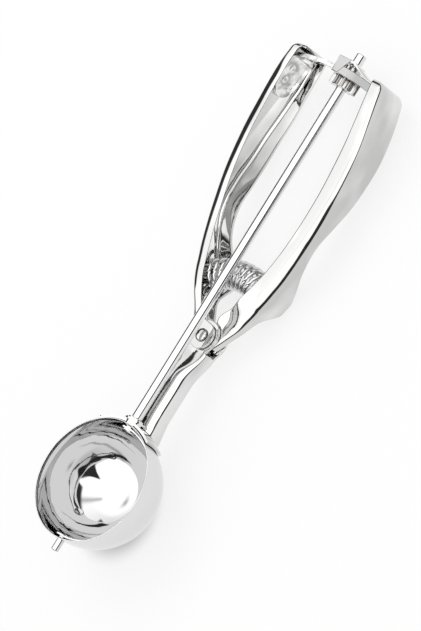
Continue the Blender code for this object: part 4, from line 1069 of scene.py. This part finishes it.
# %% Gear
GEAR_MODULE = 0.000857
TEETH = 12
PRESSURE = math.radians(25.0)
BACKLASH = 0.00030
PITCH_RADIUS = 0.5 * GEAR_MODULE * TEETH
GEAR_WIDTH = 0.0068
HUB_RADIUS = 0.0034
GEAR_CHAMFER = 0.00018
RACK_RADIUS = 0.1144
RACK_WIDTH = 0.0016
BRACKET_Y = HINGE_Y + RACK_RADIUS + 0.0042


def involute(base, radius):
    """Angle swept by an involute of the base circle: roll - atan(roll), roll = sqrt((r / base)^2 - 1)."""
    roll = np.sqrt(np.clip((radius / base) ** 2 - 1.0, 0.0, None))
    return roll - np.arctan(roll)


def gear_outline():
    """Angles and radii of one tooth from root to root, repeated at multiples of the pitch angle."""
    base = PITCH_RADIUS * math.cos(PRESSURE)
    tip = PITCH_RADIUS + 0.93 * GEAR_MODULE
    root = PITCH_RADIUS - 1.20 * GEAR_MODULE
    half = 0.5 * np.pi / TEETH - 0.25 * BACKLASH / PITCH_RADIUS + involute(base, PITCH_RADIUS)
    r = np.linspace(max(base, root), tip, 7)
    flank = half - involute(base, r)
    right_a = np.concatenate([[half + 0.02], flank])
    right_r = np.concatenate([[root], r])
    a = np.concatenate([-right_a, right_a[::-1]])
    r = np.concatenate([right_r, right_r[::-1]])
    middle = 2 * np.pi * np.arange(TEETH)[:, None] / TEETH
    return (middle + a).ravel(), np.broadcast_to(r, (TEETH, len(r))).ravel()


def gear_points():
    """Closed tube of rings from bore to teeth to hub and back: the outline or a circle, each at its own y."""
    a, r = gear_outline()
    front = HINGE_Y + RACK_RADIUS + 0.5 * RACK_WIDTH + 0.0002 - GEAR_WIDTH
    back = front + GEAR_WIDTH
    hub_end = BRACKET_Y - 0.5 * SHEET - GAP
    c = GEAR_CHAMFER
    rings = [
        (ROD_BORE, front), (r - c, front), (r, front + c), (r, back - c), (r - c, back), (HUB_RADIUS, back),
        (HUB_RADIUS, hub_end - c), (HUB_RADIUS - c, hub_end), (ROD_BORE, hub_end),
    ]
    x, z = -np.sin(a), np.cos(a)
    return np.stack([np.stack([radius * x, np.full_like(a, y), radius * z], axis=-1) for radius, y in rings])


points = gear_points()
faces = grid_faces(*points.shape[:2], close_rows=True, close_columns=True)
piece_from("gear", points, faces, CUT_STEEL, "shaft", ["pinion"], angle=25.0)

# %% Curves for the rack and the bracket
def spine_inner(y, extra):
    """Plan point inside the right spine: outer point + (wall + extra) * inward normal."""
    step = 0.0005
    y = np.asarray(y, float)
    slope = (spine_out(y + step) - spine_out(y - step)) / (2 * step)
    normal = np.stack([-np.ones_like(slope), slope], axis=-1)
    normal = normal / np.linalg.norm(normal, axis=-1, keepdims=True)
    return np.stack([spine_out(y), y], axis=-1) + normal * (SHEET + extra)


def curve_bend(start, corner, end, count):
    """Quadratic bend: (1-t)^2 start + 2t(1-t) corner + t^2 end."""
    t = np.linspace(0.0, 1.0, count)[:, None]
    return (1 - t) ** 2 * np.asarray(start) + 2 * t * (1 - t) * np.asarray(corner) + t * t * np.asarray(end)


def rack_arc(s):
    """Plan point at arc length s about the hinge: (R sin(s/R), hinge + R cos(s/R))."""
    a = s / RACK_RADIUS
    return np.stack([RACK_RADIUS * np.sin(a), HINGE_Y + RACK_RADIUS * np.cos(a)], axis=-1)


print("rack stands %.1f mm from the hinge" % (1000 * RACK_RADIUS))

# %% Rack
RACK_TOP = 0.0076
RACK_TIP = 0.0055
TEETH_START = -0.0183
FOOT_END = HINGE_Y + RACK_RADIUS - 0.0042
FOOT_LENGTH = 0.0150
FOOT_LOW = -0.0055
FOOT_BEND = 0.0020
LEFT = (-1.0, 1.0)


def rack_teeth():
    """Straight-sided teeth: four (s, level) corners each, repeated at the pitch; and the root's level."""
    pitch = math.pi * GEAR_MODULE
    line = PITCH_RADIUS + 0.00005
    tip, root = line - 0.90 * GEAR_MODULE, line + 1.12 * GEAR_MODULE
    half = 0.25 * pitch - 0.25 * BACKLASH
    at_tip = half - (line - tip) * math.tan(PRESSURE)
    at_root = half + (root - line) * math.tan(PRESSURE)
    middle = (np.arange(-7, 4) + 0.5)[:, None] * pitch
    s = (middle + np.array([-at_root, -at_tip, at_tip, at_root])).ravel()
    z = np.broadcast_to(np.array([root, tip, tip, root]), (len(middle), 4)).ravel()
    keep = (s > TEETH_START) & (s < RACK_TIP - 0.0002)
    return s[keep], z[keep], root


def rack_foot():
    """Plan path, low and high levels: a round-ended foot inside the spine, then the bend to the arc."""
    foot_y = FOOT_END - FOOT_LENGTH + FOOT_LENGTH * (1 - np.cos(np.linspace(0.0, 0.5 * np.pi, 26)))
    foot = spine_inner(foot_y, GAP + 0.5 * RACK_WIDTH) * LEFT
    joint = rack_arc(foot[-1][0] + FOOT_BEND)
    turn = curve_bend(foot[-1], (foot[-1][0] + 0.0004, joint[1] - 0.0004), joint, 14)[1:]
    path = np.concatenate([foot, turn])
    y = path[:, 1]
    top, bottom = flange_levels(y, LEVER_EAR_OUTER)
    rise = np.clip((y - FOOT_END) / (joint[1] - FOOT_END), 0.0, 1.0)
    high = np.minimum(RACK_TOP, (top - flange_sizes(y, -1.0)[2]) * (1 - rise) + RACK_TOP * rise)
    low = np.maximum(FOOT_LOW, bottom + LOWER_CORNER)
    middle, half = 0.5 * (high + low), 0.5 * (high - low)
    tip = np.clip((y - foot_y[0]) / half, 0.0, 1.0)
    round_end = np.sqrt(np.clip(1.0 - (1.0 - tip) ** 2, 0.002, None))
    return path, middle - half * round_end, middle + half * round_end, foot[-1][0] + FOOT_BEND


def rack_points():
    """Lower and upper edge of the whole strip: foot, slope, teeth and a straight end."""
    path, low, high, joint_s = rack_foot()
    s, z, root = rack_teeth()
    step = np.linspace(0.0, 1.0, 6)[1:]
    slope_s = np.linspace(joint_s, TEETH_START - GAP, 6)[1:]
    s = np.concatenate([slope_s, s, [RACK_TIP]])
    path = np.concatenate([path, rack_arc(s)])
    low = np.concatenate([low, low[-1] + (root - low[-1]) * step, z, [root]])
    high = np.concatenate([high, np.full(len(s), RACK_TOP)])
    return at_levels([(path, low), (path, high)])


sheet_piece("rack_strip", rack_points(), RACK_STEEL, "lever", ["rack"], 40.0, RACK_WIDTH, 0.0, 0.00015)

# %% Weld dimples
WELD_RADIUS = 0.0011
WELD_RIM = 0.00022
WELD_PLACES = ((0.1705, -0.0026), (0.1722, 0.0026), (0.1772, 0.0030))


def dimple_points(centre, normal):
    """Shallow dish with a raised rim, in rings about the normal: height = rim * exp(-((r - R) / w)^2)."""
    r = np.linspace(0.02, 1.35, 12) * WELD_RADIUS
    height = WELD_RIM * np.exp(-((r - WELD_RADIUS) / (0.28 * WELD_RADIUS)) ** 2) - 0.00002
    return turned_points(np.column_stack([r, height]), centre, normal, 32)


for number, (y, level) in enumerate(WELD_PLACES):
    on_foot = spine_inner(y, GAP + RACK_WIDTH) * LEFT
    ahead = spine_inner(y, GAP + SHEET + RACK_WIDTH) * LEFT
    points = dimple_points((*on_foot, level), (*(ahead - on_foot), 0.0))
    shape = points.shape[:2]
    faces = grid_faces(*shape, close_columns=True) + end_faces(*shape)[:1]
    piece_from("weld_mark_%d" % number, points, faces, BUFFED, "lever", [], angle=60.0)

# %% [markdown]
# ## Bracket
#
# One bent strip comes out of the right handle's end, crosses behind the rack to a round lug with the
# rod's bearing, and folds forward over the rack to hold it down on the gear.

# %% Bracket strip
STRIP_Y = HANDLE_END - SHEET - 0.0005 - 0.5 * SHEET
STRIP_TOP = 0.0084
STRIP_BOTTOM = 0.0040
LUG_RADIUS = 0.0042
LUG_RISE = 0.0004
LUG_END = -0.0050
FOLD_LEFT = -0.0018


def bracket_path():
    """Plan path: along the spine, round the corner, a step to the bearing.

    It also gives how many of the points lie inside the handle, and how far out the foot ends.
    """
    foot = spine_inner(np.linspace(STRIP_Y - 0.0142, STRIP_Y - 0.0022, 14), GAP + 0.5 * SHEET)
    end = foot[-1][0]
    turn = curve_bend(foot[-1], (end - 0.0003, STRIP_Y), (end - 0.0026, STRIP_Y), 12)[1:]
    knee_a = curve_bend((0.0190, STRIP_Y), (0.0165, STRIP_Y), (0.0146, STRIP_Y + 0.0006), 10)
    knee_b = curve_bend((0.0086, BRACKET_Y - 0.0011), (0.0062, BRACKET_Y), (0.0048, BRACKET_Y), 10)
    x = LUG_RADIUS * np.cos(np.linspace(0.0, np.pi, 41))
    lug = np.column_stack([x, np.full_like(x, BRACKET_Y)])
    path = np.concatenate([foot, turn, knee_a, knee_b, lug, [(LUG_END, BRACKET_Y)]])
    return path, len(foot) + len(turn), end


def bracket_points():
    """Lower and upper edge: round under the bearing, level across, tucked into the handle's corner."""
    path, count_inside, end = bracket_path()
    x, y = path[:, 0], path[:, 1]
    lug_low = -np.sqrt(np.clip(LUG_RADIUS ** 2 - x * x, 0.0, None))
    past_lug = np.abs(x) - LUG_RADIUS
    low = np.where(past_lug < 0.0, lug_low, STRIP_BOTTOM * ease(past_lug / 0.004))
    high = STRIP_TOP + LUG_RISE * ease((0.0077 - x) / 0.0030) - np.maximum(FOLD_LEFT - x, 0.0)
    corner = flange_levels(y, NEST_HALF)[0] - flange_sizes(y, 1.0)[2]
    tucked = corner + (high - corner) * ease((end - 0.0004 - x) / 0.0018)
    high = np.where(np.arange(len(x)) < count_inside, tucked, high)
    return at_levels([(path, low), (path, high)])


points = bracket_points()
sheet_piece("bracket_strip", points, BUFFED, "frame", ["bearing_bracket"], 40.0, SHEET, 0.0, PLATE_EDGE)

# %% Bracket fold, web and lip
LID_FRONT = RACK_RADIUS - 0.5 * RACK_WIDTH - GAP - SHEET
LID_BACK = RACK_RADIUS + 0.0012
LID_LEFT = -0.0020
LID_RIGHT = 0.0200
LID_LEVEL = RACK_TOP + GAP
FOLD_RIGHT = 0.0047
FOLD_HALF_FRONT = 0.0012
FOLD_LEVEL = 0.0083


def arc_band(inner, outer, x_start, x_end, count=40):
    """Near and far side of a band about the hinge: y = hinge + sqrt(R^2 - x^2)."""
    x = np.linspace(x_start, x_end, count)
    return [np.column_stack([x, HINGE_Y + np.sqrt(radius ** 2 - x * x)]) for radius in (inner, outer)]


def fold_band(count=12):
    """Two straight sides that widen from the lid's front to the strip, the right one first."""
    front = HINGE_Y + LID_FRONT + 0.0001
    t = np.linspace(0.0, 1.0, count)
    y = front + (BRACKET_Y + 0.00045 - front) * t
    return [np.column_stack([side + (end - side) * t, y])
            for side, end in ((FOLD_HALF_FRONT, FOLD_RIGHT), (-FOLD_HALF_FRONT, FOLD_LEFT))]


def band_plate(name, sides, low, high, finish):
    """Plate between two matching sides: four corners at each step along them, closed at both ends."""
    near, far = sides
    points = at_levels([(near, low), (far, low), (far, high), (near, high)], axis=1)
    count = len(points)
    faces = [face[::-1] for face in grid_faces(count, 4, close_columns=True)]
    faces += [face[::-1] for face in end_faces(count, 4)]
    plate = piece_from(name, points, faces, finish, "frame", [])
    break_edges(plate, PLATE_EDGE, 2, 40.0)


web = arc_band(LID_FRONT, LID_BACK, LID_LEFT, LID_RIGHT)
lip = arc_band(LID_FRONT + 0.00005, LID_FRONT + SHEET, LID_LEFT + 0.00005, LID_RIGHT - 0.0004)
# The web and the fold take the lid steel, whose darker tint is painted shade.
band_plate("bracket_web", web, LID_LEVEL, LID_LEVEL + SHEET, LID_STEEL_PAINTED_SHADE)
band_plate("bracket_lip", lip, PITCH_RADIUS + GEAR_MODULE + 0.0004, RACK_TOP + 0.0009, BUFFED)
band_plate("bracket_fold", fold_band(), FOLD_LEVEL, FOLD_LEVEL + SHEET, LID_STEEL_PAINTED_SHADE)

# %% [markdown]
# ## Spring
#
# One drawn wire wound round a curve about the hinge. When the handles close, its left end goes with
# the lever and the turns between share the way; here the wire is attached to neither body.
# Each end sits over a stud inside its handle.

# %% Spring wire
SPRING_ARC = 0.0277
SPRING_LEVEL = -0.0112
SPRING_MEAN = 0.00555
SPRING_HALF_ANGLE = math.radians(34.5)
SPRING_TURNS = 12
STEPS_PER_TURN = 28
WIRE_RADIUS = 0.0007
TAIL = 0.0014


def spring_line():
    """Helix on an arc about the hinge: radius arc + mean cos(turn), height mean sin(turn)."""
    t = np.linspace(0.0, 1.0, STEPS_PER_TURN * SPRING_TURNS + 1)
    arc = SPRING_HALF_ANGLE * (1 - 2 * t)
    turn = 2 * np.pi * SPRING_TURNS * t
    radius = SPRING_ARC + SPRING_MEAN * np.cos(turn)
    x, y = radius * np.sin(arc), HINGE_Y + radius * np.cos(arc)
    return np.stack([x, y, SPRING_LEVEL + SPRING_MEAN * np.sin(turn)], axis=-1)


def with_tails(line):
    """Line with one more point at each end, a tail's length straight on."""
    tails = np.stack([line[0] - line[1], line[-1] - line[-2]])
    tails *= TAIL / np.linalg.norm(tails, axis=1, keepdims=True)
    return np.concatenate([[line[0] + tails[0]], line, [line[-1] + tails[1]]])


def tube_points(line, radius, steps=16):
    """Rings round a line: centre + r (cos a n + sin a b), with n turned away from the arc's own centre."""
    tangent = np.gradient(line, axis=0)
    tangent = tangent / np.linalg.norm(tangent, axis=1, keepdims=True)
    middle = np.array([0.0, HINGE_Y, SPRING_LEVEL])
    first = np.cross(tangent, np.cross(line - middle, tangent))
    first = first / np.linalg.norm(first, axis=1, keepdims=True)
    second = np.cross(tangent, first)
    a = np.linspace(0.0, 2 * np.pi, steps, endpoint=False)
    ring = np.cos(a)[None, :, None] * first[:, None] + np.sin(a)[None, :, None] * second[:, None]
    return line[:, None] + radius * ring


line = with_tails(spring_line())
points = tube_points(line, WIRE_RADIUS)
shape = points.shape[:2]
faces = grid_faces(*shape, close_columns=True) + end_faces(*shape)
wire = piece_from("spring_wire", points, faces, WIRE_STEEL, None, ["return_spring"], angle=60.0)
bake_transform(wire)

# %% Spring studs
STUD_RADIUS = 0.0032
STUD_LENGTH = 0.0066
STUD_CHAMFER = 0.0006


def stud(name, side, body, nodes):
    """Turned stud along the spine's inward normal at the spring's end."""
    y = HINGE_Y + (SPRING_ARC - 0.0004) * math.cos(SPRING_HALF_ANGLE)
    foot = spine_inner(y, GAP)
    ahead = spine_inner(y, GAP + STUD_LENGTH)
    axis = (side * (ahead[0] - foot[0]), ahead[1] - foot[1], 0.0)
    profile = rounded([
        (0.0, 0.0), (STUD_RADIUS, 0.0), (STUD_RADIUS, STUD_LENGTH - STUD_CHAMFER),
        (STUD_RADIUS - STUD_CHAMFER, STUD_LENGTH), (0.0, STUD_LENGTH),
    ], 0.0002)
    lathe(name, profile, (side * foot[0], foot[1], SPRING_LEVEL), axis, CUT_STEEL, body, nodes, steps=48)


stud("right_stud", 1.0, "frame", ["spring_peg_right"])
stud("left_stud", -1.0, "lever", ["spring_peg_left"])
